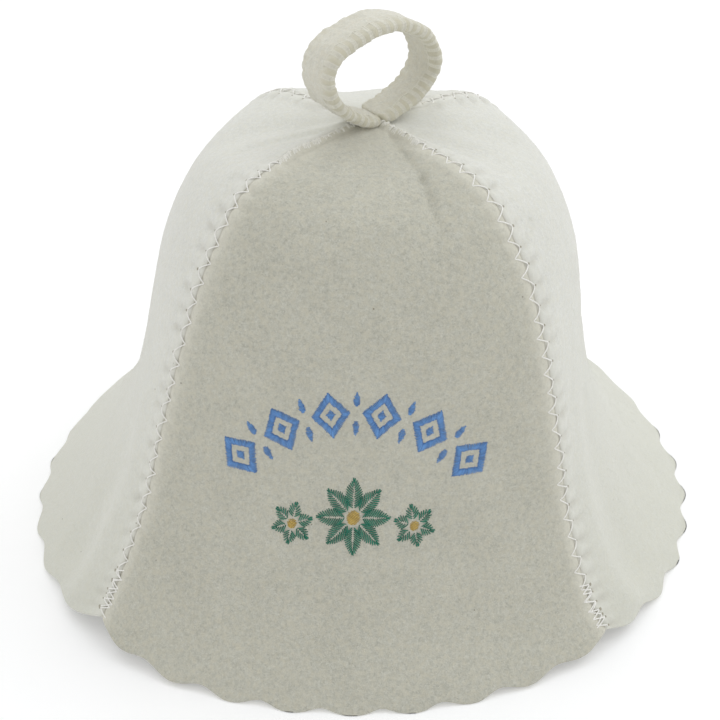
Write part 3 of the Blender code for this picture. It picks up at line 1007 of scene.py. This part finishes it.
deselect()
bpy.ops.mesh.primitive_uv_sphere_add(segments=8, ring_count=5, radius=1.0)
ball = bpy.context.object
BALL, BALL_FACES = points_of(ball), [list(face.vertices) for face in ball.data.polygons]
bpy.data.objects.remove(ball, do_unlink=True)


def press_pits(name, places):
    """Flat dimples of painted shade at these places, one mesh."""
    points = []
    dice = np.random.default_rng(len(places))
    for center, up in places:
        side = unit(np.cross(up, (0.0, 0.0, 1.0)))
        ahead = np.cross(up, side)
        size = PIT_RADIUS * dice.uniform(*PIT_SIZES)
        along, aside, outside = BALL[:, :1], BALL[:, 1:2], BALL[:, 2:]
        points.append(center + size * (along * side + aside * ahead + outside * up * PIT_FLAT))
    piece = mesh_piece(name, np.concatenate(points), copied_faces(BALL_FACES, len(BALL), len(places)))
    tidy_mesh(piece, STRAND_MERGE)
    return piece


needle_pits = press_pits("needle_holes", [place for thread, passes, crest in sewn for places in passes
                                          for place in zip(*places)])
print("needle holes:", len(needle_pits.data.polygons), "faces")

# %% [markdown]
# The hanging loop is a strip of felt, folded along its far edge and overcast along its near one, then
# bent into a teardrop with both ends caught in the seam at the apex. It follows the same middle line as
# the solid does. A real strip bends by itself when its ends meet, and the line was read from the
# photograph, so nothing has to be simulated.

# %% The loop's middle line
LOOP_WIDTH = 19.0
LOOP_THICKNESS = 5.0
LOOP_SEAT = 0.3
LOOP_TURN = 40.0        # degrees from +X to the direction that the loop spans
LOOP_PATH = (           # along and up, from one end of the strip to the other
    (-0.4, 0.0), (-7.0, 1.2), (-14.0, 5.2), (-23.5, 14.0), (-27.5, 25.0), (-23.0, 33.5), (-10.5, 38.8),
    (3.5, 40.6), (17.0, 37.0), (27.0, 28.0), (29.3, 17.5), (22.5, 8.2), (12.0, 3.2), (0.4, 0.0),
)

TURN = math.radians(LOOP_TURN)
SPAN = np.array([math.cos(TURN), math.sin(TURN), 0.0])
LOOP_ACROSS = np.array([-math.sin(TURN), math.cos(TURN), 0.0])
UPWARD = np.array([0.0, 0.0, 1.0])
LOOP_MIDDLE = wall(0, np.array([0.0]), np.array([1.0]))[0] + UPWARD * (LOOP_SEAT + LOOP_THICKNESS / 2.0)


def loop_line(share):
    """The strip's middle line in its own plane, and its length."""
    along, up = np.array(LOOP_PATH, dtype=float).T
    lengths = np.append(0.0, np.cumsum(np.hypot(np.diff(along), np.diff(up))))
    at = share * lengths[-1]
    return smooth(at, lengths, along), smooth(at, lengths, up), lengths[-1]


def loop_frame(share):
    """Middle points of the strip and its outward directions."""
    along, up, length = loop_line(share)
    along_ahead, up_ahead, length = loop_line(np.minimum(share + STEP, 1.0))
    along_back, up_back, length = loop_line(np.maximum(share - STEP, 0.0))
    run, rise = along_ahead - along_back, up_ahead - up_back
    outward = unit(UPWARD * run[..., None] - SPAN * rise[..., None])
    return LOOP_MIDDLE + SPAN * along[..., None] + UPWARD * up[..., None], outward, length


print("the strip is", round(float(loop_line(np.array([0.0]))[2]), 1), "mm long")

# %% [markdown]
# Across the strip the fold is round, and along the overcast edge every turn of the thread squeezes the
# two layers, so the felt swells between the turns. The section is a rounded rectangle whose width and
# thickness change along the strip. A scanned strip would be as lively, but it couldn't be asked where
# the thread has to lie.

# %% The loop's surface
OVERCAST_PITCH = 4.1
OVERCAST_BAND = 5.2     # how wide the overcast edge is
BAND_INSET, BAND_FADE = 0.8, 0.45
SQUEEZE = 0.15          # share of the thickness that a turn of thread takes away
NIP, FAR_NIP = 0.55, 0.8        # how far a turn pulls the edge in, and the bumps along the fold
NIP_REACH = 1.6
GROOVE_DEPTH, GROOVE_WIDTH = 0.30, 0.9      # between the overcast band and the plain face
EDGE_SQUARENESS, FACE_SQUARENESS = 0.45, 0.70       # 1 would make the section round
LOOP_FULLNESS = 0.12    # how much wider the strip spreads at its top
SWELLS = ((6.0, 0.75), (2.4, 0.25))         # size and height of the felt's unevenness
GROOVE_RISE, SWELL_RISE = 2.0, 3.0          # how soon they reach their full depth from the edge
END_ROUNDING = 3.6      # the radius of the strip's corners at its two ends
END_THINNING = 0.5      # share of its thickness that the strip loses there


def squeezed(at):
    """1 at each turn of the overcasting and 0 half way between."""
    return np.cos(math.pi * at / OVERCAST_PITCH) ** 4


def strip_surface(share, angle):
    """Points of the strip: share runs along it, angle round its section, 0 at the folded far edge."""
    middle, outward, length = loop_frame(share)
    at = share * length
    cosine, sine = np.cos(angle), np.sin(angle)
    full = 1.0 + LOOP_FULLNESS * np.sin(math.pi * share) ** 2
    wide = LOOP_WIDTH / 2.0 * full * np.sign(cosine) * np.abs(cosine) ** EDGE_SQUARENESS
    thick = LOOP_THICKNESS / 2.0 * full * np.sign(sine) * np.abs(sine) ** FACE_SQUARENESS
    from_edge = wide + LOOP_WIDTH / 2.0 * full
    band = 1.0 / (1.0 + np.exp((from_edge - OVERCAST_BAND + BAND_INSET) / BAND_FADE))
    thick = thick * (1.0 - SQUEEZE * band * squeezed(at))
    groove = GROOVE_DEPTH * bell(from_edge - OVERCAST_BAND, GROOVE_WIDTH)
    thick -= np.sign(sine) * groove * np.minimum(1.0, np.abs(sine) * GROOVE_RISE)
    short = np.clip(END_ROUNDING - np.minimum(at, length - at), 0.0, END_ROUNDING)
    rounding = END_ROUNDING - np.sqrt(END_ROUNDING ** 2 - short ** 2)
    wide *= 1.0 - rounding / (LOOP_WIDTH / 2.0)
    thick *= 1.0 - END_THINNING * rounding / END_ROUNDING
    wide += NIP * squeezed(at) * bell(from_edge, NIP_REACH)
    wide -= FAR_NIP * squeezed(at + OVERCAST_PITCH / 2.0) * bell(LOOP_WIDTH - from_edge, NIP_REACH)
    points = middle + LOOP_ACROSS * wide[..., None] + outward * thick[..., None]
    swell = np.array([sum(height * noise.noise(Vector(point / size)) for size, height in SWELLS)
                      for point in points.reshape(-1, 3)]).reshape(share.shape)
    return points + outward * (swell * np.sign(sine) * np.minimum(1.0, np.abs(sine) * SWELL_RISE))[..., None]


HALF_WAY = strip_surface(np.array([0.5, 0.5]), np.array([0.0, math.pi]))
print("half way along the strip is", round(float(np.linalg.norm(HALF_WAY[0] - HALF_WAY[1])), 1), "mm wide")

# %% [markdown]
# A long tube is cut into sections and every vertex is moved to its place on that surface. The felt
# between two turns of thread is painted darker and yellower as shade, and so is the fold, most where it
# is pinched in between its bumps.

# %% Bend the strip
LOOP_ROUNDS = 40        # points round the section
LOOP_STATIONS = 300     # sections along the strip
POCKET_PAINTED_SHADE = 0.75      # painted shade between two turns of thread
# painted shade along the fold
FOLD_PAINTED_SHADE, FOLD_PAINTED_SHADE_REACH = 0.9, 3.4


def bend_strip():
    """The folded strip, from a long tube laid on the loop's line."""
    deselect()
    bpy.ops.mesh.primitive_cylinder_add(vertices=LOOP_ROUNDS, radius=1.0, depth=2.0, end_fill_type="TRIFAN")
    strip = bpy.context.object
    strip.name = strip.data.name = "loop_felt"
    bpy.ops.object.mode_set(mode="EDIT")
    bpy.ops.mesh.select_mode(type="EDGE")
    bpy.ops.mesh.select_all(action="DESELECT")
    bpy.ops.object.mode_set(mode="OBJECT")
    for edge in strip.data.edges:
        first, second = (strip.data.vertices[number].co for number in edge.vertices)
        edge.select = abs(first.z - second.z) > 1.0
    bpy.ops.object.mode_set(mode="EDIT")
    bpy.ops.mesh.subdivide_edgering(number_cuts=LOOP_STATIONS, interpolation="LINEAR")
    bpy.ops.object.mode_set(mode="OBJECT")
    tube = points_of(strip)
    share = (tube[:, 2] + 1.0) / 2.0
    angle = np.arctan2(tube[:, 1], tube[:, 0])
    points = strip_surface(share, angle)
    hub = np.hypot(tube[:, 0], tube[:, 1]) < 0.5
    points[hub] = loop_frame(share[hub])[0]
    move_points(strip, settled(points))
    from_edge = LOOP_WIDTH / 2.0 * (1.0 + np.sign(np.cos(angle)) * np.abs(np.cos(angle)) ** EDGE_SQUARENESS)
    # painted shade in the pockets between turns of thread and along the fold
    pocket_shade = np.exp(-(from_edge / OVERCAST_BAND) ** 4)
    pocket_shade += FOLD_PAINTED_SHADE * bell(LOOP_WIDTH - from_edge, FOLD_PAINTED_SHADE_REACH)
    mark(strip, "tint_and_painted_shading", pocket_shade * (1.0 - squeezed(share * loop_line(share)[2])) * POCKET_PAINTED_SHADE)
    tidy_mesh(strip, STRAND_MERGE)
    return strip


loop_strip = bend_strip()
print("loop:", len(loop_strip.data.polygons), "faces", [round(side, 4) for side in loop_strip.dimensions])

# %% [markdown]
# Every turn of the overcasting is four strands side by side that go round the edge from one face of the
# strip to the other, and a looper thread joins the feet of the turns on each face. A curve could be
# wound round the edge, but short strands between points of the strip's own surface follow each squeeze
# and swelling of the felt.

# %% Overcasting thread
OVERCAST_RADIUS = 0.30
OVERCAST_STRANDS = (-0.72, -0.24, 0.24, 0.72)     # strands of one turn, side by side
OVERCAST_SWAY = 0.5     # how unevenly the turns are spaced
OVERCAST_ARC = (0.56, 1.44)     # where a turn starts and ends on the section, in half turns
OVERCAST_SLACK = (-0.02, 0.03)
OVERCAST_TURN_POINTS = 9
OVERCAST_BOW = 0.04
OVERCAST_CLEARANCE = 0.02
OVERCAST_SEED = 19


def overcast():
    """Turns of thread round the loop's near edge, each from face to face."""
    length = loop_line(np.array([0.0]))[2]
    starts, ends, ups, feet = [], [], [], []
    dice = np.random.default_rng(OVERCAST_SEED)
    for number in range(1, int(length / OVERCAST_PITCH)):
        sway = dice.uniform(-OVERCAST_SWAY, OVERCAST_SWAY)
        for strand in OVERCAST_STRANDS:
            at = number * OVERCAST_PITCH + strand + sway
            first = OVERCAST_ARC[0] + dice.uniform(*OVERCAST_SLACK)
            last = OVERCAST_ARC[1] + dice.uniform(-OVERCAST_SLACK[1], -OVERCAST_SLACK[0])
            edge_angle = np.linspace(first, last, OVERCAST_TURN_POINTS) * math.pi
            share = np.full(OVERCAST_TURN_POINTS, at / length)
            points = strip_surface(share, edge_angle)
            middle = loop_frame(share)[0] - LOOP_ACROSS * (LOOP_WIDTH / 2.0 - OVERCAST_BAND / 2.0)
            away = unit(points - middle)
            points = points + away * OVERCAST_CLEARANCE
            starts += list(points[:-1])
            ends += list(points[1:])
            ups += list(unit(away[:-1] + away[1:]))
            if strand == OVERCAST_STRANDS[0]:
                feet.append((points[[0, -1]], away[[0, -1]]))
    for (here, away), (there, away_there) in zip(feet, feet[1:]):
        starts += list(here)
        ends += list(there)
        ups += list(unit(away + away_there))
    return lay_strands("loop_overcast_thread", SHORT_STRAND, starts, ends, ups,
                       OVERCAST_BOW, OVERCAST_RADIUS)


loop_thread = overcast()
print("overcasting:", len(loop_thread.data.polygons), "faces")

# %% [markdown]
# A twisted thread shows as slanting bands of light and shade. They could be modelled as two plies, but
# at half a millimetre a wave does as well: it runs round and along each strand on the strand's own UV
# map, as painted light and shade in the colour and as bump. The seams have bright white cotton, the
# crests and the loop softer and creamier ones.

# %% Thread finish
PLY_TURN, PLY_DEPTH, PLY_STRENGTH = 1.1, 0.12, 0.5     # of a thread's two plies
PLY_SHARE, LINT_SHARE = 0.6, 0.4
LINT = (0.6, 2.0, 0.6)
LINT_ROUGHNESS = 0.15


def thread_finish(name, light, dark, gloss, deep=None):
    """Spun thread: two plies that wind round each other, with a soft shine; deep is its shaded tone."""
    thread = Finish(name, Metallic=0.0, Sheen_Weight=0.25, Specular_IOR_Level=0.35)
    plies = thread.add("ShaderNodeUVMap", {"uv_map": "plies"}, {})
    run, turn = (thread.add("ShaderNodeSeparateXYZ", {}, {"Vector": plies}, axis) for axis in "XY")
    angle = (run * (1.0 / PLY_TURN) + turn * 2.0) * (2.0 * math.pi)
    wave = thread.add("ShaderNodeMath", {"operation": "SINE"}, {0: angle}) * 0.5 + 0.5
    lint = thread.noise(*LINT)
    # painted light and shade of the two plies, mixed with random lint
    color = thread.mix(wave * PLY_SHARE + lint * LINT_SHARE, dark, light)
    if deep:
        color = thread.mix(thread.kept("tint_and_painted_shading"), color, deep)
    return thread.dress(color, lint * LINT_ROUGHNESS + (1.0 - gloss), wave, PLY_DEPTH, PLY_STRENGTH)


white_thread = thread_finish("white_thread", rgb(0.90, 0.89, 0.855), rgb(0.80, 0.785, 0.735), 0.45)
crest_cotton = thread_finish("crest_cotton", rgb(0.83, 0.82, 0.765), rgb(0.74, 0.725, 0.655), 0.2)
loop_cotton = thread_finish("loop_cotton", rgb(0.77, 0.755, 0.665), rgb(0.66, 0.64, 0.55), 0.15)
# painted shade inside the open needle holes
pit_felt = felt_finish("pit_felt", light=rgb(0.42, 0.395, 0.31), dark=rgb(0.28, 0.26, 0.20),
                       chaff_and_painted_shade=rgb(0.2, 0.18, 0.14))
# its tint is the painted shade in the pockets and along the fold
loop_felt = felt_finish("felt_loop", light=rgb(0.755, 0.745, 0.665), dark=rgb(0.54, 0.525, 0.445),
                        chaff_and_painted_shade=rgb(0.4, 0.36, 0.28), tint_and_painted_shading_color=rgb(0.55, 0.52, 0.39), warm=rgb(0.68, 0.64, 0.52))
for thread in seam_threads:
    thread.data.materials.append(crest_cotton if thread is crest_thread else white_thread)
loop_thread.data.materials.append(loop_cotton)
needle_pits.data.materials.append(pit_felt)
loop_strip.data.materials.append(loop_felt)
print("cottons:", white_thread.name, crest_cotton.name, loop_cotton.name)

# %% [markdown]
# The front wedge carries a small machine embroidery: an arch of blue lozenges over three green
# rosettes with yellow hearts. Embroidery like this is satin stitch: every form is filled with parallel
# threads that lie side by side and sink into the felt at its outline, so it catches the light across
# its grain. A printed pattern would look flat, so every thread is laid. The motifs are drawn flat, in
# millimetres across the wedge and up it, and then put on the felt.

# %% From the flat drawing to the felt
SILK_SIDES = 5
SILK_CUTS = 4
SILK_RADIUS = 0.25
SILK_PITCH = 0.54       # from one thread to the next
SILK_BOW = 0.75
SILK_FULL_LENGTH, SILK_LEAST_BOW = 3.0, 0.5     # shorter threads are bowed less
SILK_JAG = 0.24         # how unevenly the threads end, in millimetres
SILK_TONES = 0.5
SILK = model_strand("silk", SILK_SIDES, SILK_CUTS)


def on_front(drawn):
    """Places and directions on the front wedge for points of the flat drawing."""
    drawn = np.asarray(drawn, dtype=float)
    share = drawn[:, 1] / WEDGE_LENGTH
    across = drawn[:, 0] / (profile("seam_radius", share) / math.sqrt(2.0))
    return outer_felt(0, across, share), felt_direction(0, across, share)


def embroider(name, threads):
    """Satin stitch from pairs of points of the flat drawing."""
    threads = np.array(threads)
    dice = np.random.default_rng(len(threads))
    ahead = unit(threads[:, 1] - threads[:, 0])
    threads[:, 0] -= ahead * dice.uniform(-SILK_JAG, SILK_JAG, (len(threads), 1))
    threads[:, 1] += ahead * dice.uniform(-SILK_JAG, SILK_JAG, (len(threads), 1))
    starts, start_ups = on_front(threads[:, 0])
    ends, end_ups = on_front(threads[:, 1])
    ups = unit(start_ups + end_ups)
    lengths = np.linalg.norm(ends - starts, axis=1)
    bows = SILK_BOW * np.clip(lengths / SILK_FULL_LENGTH, SILK_LEAST_BOW, 1.0)
    sink = ups * SILK_RADIUS
    return lay_strands(name, SILK, starts - sink, ends - sink, ups, bows, SILK_RADIUS,
                       dice.random(len(threads)) * SILK_TONES)


def steps_along(length):
    """Shares of a line at which its threads lie."""
    count = max(2, int(length / SILK_PITCH))
    return (np.arange(count) + 0.5) / count


def turned(points, angle, center):
    """Points of the drawing turned clockwise by an angle and moved to a center."""
    cosine, sine = math.cos(angle), math.sin(angle)
    points = np.asarray(points, dtype=float)
    return np.stack([points[..., 0] * cosine + points[..., 1] * sine + center[0],
                     points[..., 1] * cosine - points[..., 0] * sine + center[1]], axis=-1)


print("one silk thread:", len(SILK[1]), "faces")

# %% [markdown]
# The arch is six lozenges on a circle, each with an open eye and a small diamond in it, and a pair of
# petals points away from the line between two neighbours. Lozenges, diamonds and petals are each drawn
# once, standing upright, and turned to their places.

# %% The blue arch
ARCH_CENTER = (-1.2, 64.7)
ARCH_RADIUS = 68.6
ARCH_HALF_ANGLE = 43.5  # degrees to the middle of the last lozenge
LOZENGES = 6
LOZENGE_HALF = (8.3, 10.3)
LOZENGE_EYE = 0.54      # size of its opening, as a share
DIAMOND_HALF, DIAMOND_TIP = (1.9, 2.5), 0.15
PETAL_LENGTH, PETAL_WIDTH, PETAL_AT = 6.4, 2.7, 6.4
PETAL_TAPER = 0.35      # share by which its outer end is narrower


def lozenge():
    """Threads round a hollow lozenge, from its outline to its opening."""
    corners = np.array([(0.0, 1.0), (1.0, 0.0), (0.0, -1.0), (-1.0, 0.0), (0.0, 1.0)]) * LOZENGE_HALF
    threads = []
    for first, second in zip(corners, corners[1:]):
        for t in steps_along(np.linalg.norm(second - first) * (1.0 + LOZENGE_EYE) / 2.0):
            outer = first + (second - first) * t
            threads.append((outer, outer * LOZENGE_EYE))
    return threads


def filled(half_length, half_width_at):
    """Threads across a form that stands upright, with its half width for a place from -1 to 1."""
    return [((-half_width_at(t), t * half_length), (half_width_at(t), t * half_length))
            for t in steps_along(2.0 * half_length) * 2.0 - 1.0]


def arch():
    """The lozenges along the arch, each with a diamond in its eye, and petals between them."""
    diamond = filled(DIAMOND_HALF[1], lambda t: DIAMOND_HALF[0] * (1.0 - abs(t)) + DIAMOND_TIP)
    petal = filled(PETAL_LENGTH / 2.0,
                   lambda t: PETAL_WIDTH / 2.0 * math.sqrt(1.0 - t * t) * (1.0 - PETAL_TAPER * t))
    threads = []
    places = np.radians(np.linspace(-ARCH_HALF_ANGLE, ARCH_HALF_ANGLE, 2 * LOZENGES - 1))
    for number, angle in enumerate(places):
        direction = np.array([math.sin(angle), math.cos(angle)])
        if number % 2 == 0:
            threads.append(turned(lozenge() + diamond, angle, ARCH_CENTER + direction * ARCH_RADIUS))
        else:
            for lift, flip in ((PETAL_AT, 0.0), (-PETAL_AT, math.pi)):
                threads.append(turned(petal, angle + flip, ARCH_CENTER + direction * (ARCH_RADIUS + lift)))
    return np.concatenate(threads)


blue_threads = arch()
blue_ornament = embroider("embroidery_blue", blue_threads)
print("blue threads:", len(blue_threads))

# %% [markdown]
# A rosette's petals are feathered: two rows of slanted threads meet along the middle of the petal, with
# a narrow gap for its rib. Filling them straight across would be quicker, but the slant is what makes
# stitched leaves and petals shimmer in two halves. The yellow heart is filled straight.

# %% The rosettes
ROSETTE_COLUMNS = ("x", "up", "petals", "from_center", "to_tip", "half_width", "heart", "turn")
ROSETTES = (
    (-1.0, 91.5, 8, 3.4, 15.5, 3.3, 2.9, 0.0),
    (-26.5, 88.0, 6, 2.4, 9.0, 2.4, 2.0, 12.0),
    (24.5, 88.0, 6, 2.4, 9.0, 2.4, 2.0, -12.0),
)
FEATHER_PITCH = 0.86
FEATHER_RAKE = 2.2      # how far towards the tip a petal's threads lean
RIB_GAP = 0.16          # half of the gap along a petal's middle
FEATHER_LEAST = 0.25    # the shortest thread's width
FEATHER_BELLY, FEATHER_FULLNESS = 0.85, 0.8     # powers: where a petal is widest, and how round it is
HEART_LEAST, HEART_TURN = 0.1, 0.5


def rosette_petal(row):
    """Two rows of slanted threads that meet along the petal's middle; the petal points up."""
    length = row["to_tip"] - row["from_center"]
    threads = []
    for t in (np.arange(int(length / FEATHER_PITCH)) + 0.5) / int(length / FEATHER_PITCH):
        reach = min(1.0, t + FEATHER_RAKE / length)
        belly = math.sin(math.pi * reach ** FEATHER_BELLY) ** FEATHER_FULLNESS
        half = RIB_GAP + FEATHER_LEAST + row["half_width"] * belly
        for edge in (1.0, -1.0):
            threads.append(((edge * RIB_GAP, row["from_center"] + t * length),
                            (edge * half, row["from_center"] + reach * length)))
    return threads


def rosettes():
    """The petals and the hearts of all the rosettes."""
    green, yellow = [], []
    for row in named_rows(ROSETTES, ROSETTE_COLUMNS):
        center = np.array([row["x"], row["up"]])
        for angle in np.radians(row["turn"] + np.arange(row["petals"]) * 360.0 / row["petals"]):
            green.append(turned(rosette_petal(row), angle, center))
        heart = filled(row["heart"], lambda t: row["heart"] * math.sqrt(1.0 - t * t) + HEART_LEAST)
        yellow.append(turned(heart, HEART_TURN, center))
    return np.concatenate(green), np.concatenate(yellow)


green_threads, yellow_threads = rosettes()
green_ornament = embroider("embroidery_green", green_threads)
yellow_ornament = embroider("embroidery_yellow", yellow_threads)
print("green and yellow threads:", len(green_threads), len(yellow_threads))

# %% [markdown]
# The silks are the same finish as the cottons with more gloss, and each has a deep tone: painted shade
# where its threads sink into the felt and on the threads that lie a little in the shade.

# %% Silk finishes
SILK_GLOSS = 0.55
blue_silk = thread_finish("blue_silk", rgb(0.17, 0.38, 0.74), rgb(0.12, 0.29, 0.60), SILK_GLOSS,
                          rgb(0.045, 0.115, 0.30))
green_silk = thread_finish("green_silk", rgb(0.016, 0.26, 0.16), rgb(0.010, 0.17, 0.105), SILK_GLOSS,
                           rgb(0.004, 0.07, 0.045))
yellow_silk = thread_finish("yellow_silk", rgb(0.72, 0.52, 0.14), rgb(0.56, 0.39, 0.09), SILK_GLOSS,
                            rgb(0.33, 0.21, 0.05))
ornaments = [blue_ornament, green_ornament, yellow_ornament]
for ornament, silk in zip(ornaments, (blue_silk, green_silk, yellow_silk)):
    ornament.data.materials.append(silk)
    print(ornament.name, len(ornament.data.polygons), "faces of", silk.name)

# %% [markdown]
# Felt is never quite shorn: single fibres stand off it and catch the light along the outline of the
# hat. A hair system would hold millions and can't be exported, so a few thousand short bowed fibres
# are laid as three-sided strands, most of them flat and some standing up.

# %% Loose fibres
FIBRE_RADIUS = 0.022
FIBRE_LENGTHS = (0.8, 2.4)
FIBRE_BOWS = (0.05, 0.5)
FIBRE_LIFTS = (-0.1, 0.35)      # how far the end stands off, as a share of the length
PANEL_FIBRES, LOOP_FIBRES = 1800, 500
SEAM_MARGIN, TIP_MARGIN, LOOP_MARGIN = 0.005, 0.004, 0.02
FIBRE_SEED = 77
FIBRE_SIDES, FIBRE_CUTS = 3, 3
FIBRE = model_strand("fibre", FIBRE_SIDES, FIBRE_CUTS)


def fibres(name, points, directions, dice):
    """Bowed fibres that start at these points and lie in any direction along the felt."""
    count = len(points)
    loose = dice.normal(size=(count, 3))
    along = unit(loose - directions * np.sum(loose * directions, axis=-1, keepdims=True))
    lengths = dice.uniform(*FIBRE_LENGTHS, size=(count, 1))
    lift = dice.uniform(*FIBRE_LIFTS, size=(count, 1)) * lengths
    bows = FIBRE_BOWS[0] + (FIBRE_BOWS[1] - FIBRE_BOWS[0]) * dice.random(count) ** 3
    return lay_strands(name, FIBRE, points, points + along * lengths + directions * np.maximum(lift, 0.0),
                       directions, bows, FIBRE_RADIUS)


def scattered_on_felt(count, dice):
    """Random places on the four wedges, with the felt's directions."""
    points, directions = [], []
    for index in range(len(WEDGES)):
        across = dice.uniform(SEAM_MARGIN - 1.0, 1.0 - SEAM_MARGIN, count)
        share = 1.0 - np.sqrt(dice.uniform(TIP_MARGIN, 1.0, count))
        points.append(outer_felt(index, across, share))
        directions.append(wall_normal(index, across, share))
    return np.concatenate(points), np.concatenate(directions)


def scattered_on_loop(count, dice):
    """Random places on the loop's strip."""
    share = dice.uniform(LOOP_MARGIN, 1.0 - LOOP_MARGIN, count)
    angle = dice.uniform(0.0, 2.0 * math.pi, count)
    points = strip_surface(share, angle)
    middle, outward, length = loop_frame(share)
    return points, unit(points - middle + 1e-3)


fibre_dice = np.random.default_rng(FIBRE_SEED)
felt_fibres = fibres("felt_fibres", *scattered_on_felt(PANEL_FIBRES, fibre_dice), fibre_dice)
loop_fibres = fibres("loop_fibres", *scattered_on_loop(LOOP_FIBRES, fibre_dice), fibre_dice)
fibre_wool = thread_finish("fibre_wool", rgb(0.82, 0.81, 0.76), rgb(0.66, 0.65, 0.59), 0.1)
for tuft in (felt_fibres, loop_fibres):
    tuft.data.materials.append(fibre_wool)
print("fibres:", len(felt_fibres.data.polygons), len(loop_fibres.data.polygons), "faces")

# %% [markdown]
# Soft lights stand at both sides, a little behind the hat, so the side wedges and the crown are
# brightest and the front wedge is a tone deeper, as in the photograph. A weak light in front fills the
# shadows. The room is plain white, and its wall behind the camera is dimmer than the one behind the
# hat.

# %% Lights and white room
LIGHTS = (      # name, place, size and watts
    ("left_light", (-0.60, 0.6, 2.4), 1.4, 6.6),
    ("right_light", (1.25, 0.55, 1.8), 1.4, 10.4),
    ("front_fill", (-0.15, -1.8, 0.9), 1.6, 3.1),
)
ROOM_STRENGTHS = (0.60, 1.07)      # of the wall behind the camera, and behind the hat
LIGHT_COLOR = (0.93, 0.97, 1.0)
LOOK_AT = Vector((0.0, 0.0, 0.1))


def add_light(name, place, size, watts):
    """A square soft light that faces the hat."""
    data = bpy.data.lights.new(name, "AREA")
    data.size = size
    data.energy = watts
    data.color = LIGHT_COLOR
    lamp = bpy.data.objects.new(name, data)
    lamp.location = place
    lamp.rotation_euler = (LOOK_AT - Vector(place)).to_track_quat("-Z", "Y").to_euler()
    bpy.context.collection.objects.link(lamp)


for row in LIGHTS:
    add_light(*row)
room = bpy.data.worlds.new("white_room")
room.use_nodes = True
background = room.node_tree.nodes["Background"]
background.inputs["Color"].default_value = rgb(1.0, 1.0, 1.0)
room_nodes = Nodes(room.node_tree)
facing = room_nodes.add("ShaderNodeTexCoord", {}, {}, "Generated")
depth = room_nodes.add("ShaderNodeSeparateXYZ", {}, {"Vector": facing}, "Y")
strength = room_nodes.add("ShaderNodeMapRange", {}, {"Value": depth, "From Min": -1.0,
                                                     "To Min": ROOM_STRENGTHS[0],
                                                     "To Max": ROOM_STRENGTHS[1]}, "Result")
room_nodes.feed(background.inputs["Strength"], strength)
bpy.context.scene.world = room
bpy.context.scene.view_settings.view_transform = "Standard"
print("lights:", len(LIGHTS))

# %% [markdown]
# The hat stands on a wide floor of white paper. It glows a little, so that it is as bright as the
# background of the photograph while the hat still throws a soft shadow on it. It is stage, and no part
# of the hat.

# %% Floor
FLOOR_SIDE = 12.0
PAPER_TONES, PAPER_GLOW = (0.78, 0.80), 0.22
PAPER_CLOUD = 40.0

deselect()
bpy.ops.mesh.primitive_plane_add(size=FLOOR_SIDE)
floor = bpy.context.object
floor.name = "floor"
paper = Finish("white_paper", Roughness=0.9, Emission_Color=rgb(1.0, 1.0, 1.0), Emission_Strength=PAPER_GLOW)
paper.feed(paper.shader.inputs["Base Color"],
           paper.mix(paper.noise(PAPER_CLOUD), *(rgb(tone, tone, tone) for tone in PAPER_TONES)))
floor.data.materials.append(paper.material)
print("floor:", FLOOR_SIDE, "m wide")

# %% [markdown]
# Each piece is now tied to the body it moves with, and the solid that it stands for is hidden. The hat
# is cloth without joints, so there is one body. The four wedges of felt are declared as sheets, with their
# size
# when laid flat.

# %% Tie the pieces to their body
FLAT_WIDTHS = (0.2545, 0.2645, 0.2655, 0.2710)  # each wedge laid flat, along its brim, in metres
FLAT_AREAS = (0.0392, 0.0403, 0.0405, 0.0409)   # square metres: each wedge's volume over its thickness
for panel, width, area in zip(panels, FLAT_WIDTHS, FLAT_AREAS):
    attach(panel, "root")
    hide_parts(panel.name.replace("felt", "panel"))
for piece in seam_threads + ornaments + [needle_pits, loop_strip, loop_thread, felt_fibres, loop_fibres]:
    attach(piece, "root")
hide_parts("hanging_loop")
print("sheets of felt:", [panel.name for panel in panels], "and the loop:", loop_strip.name)
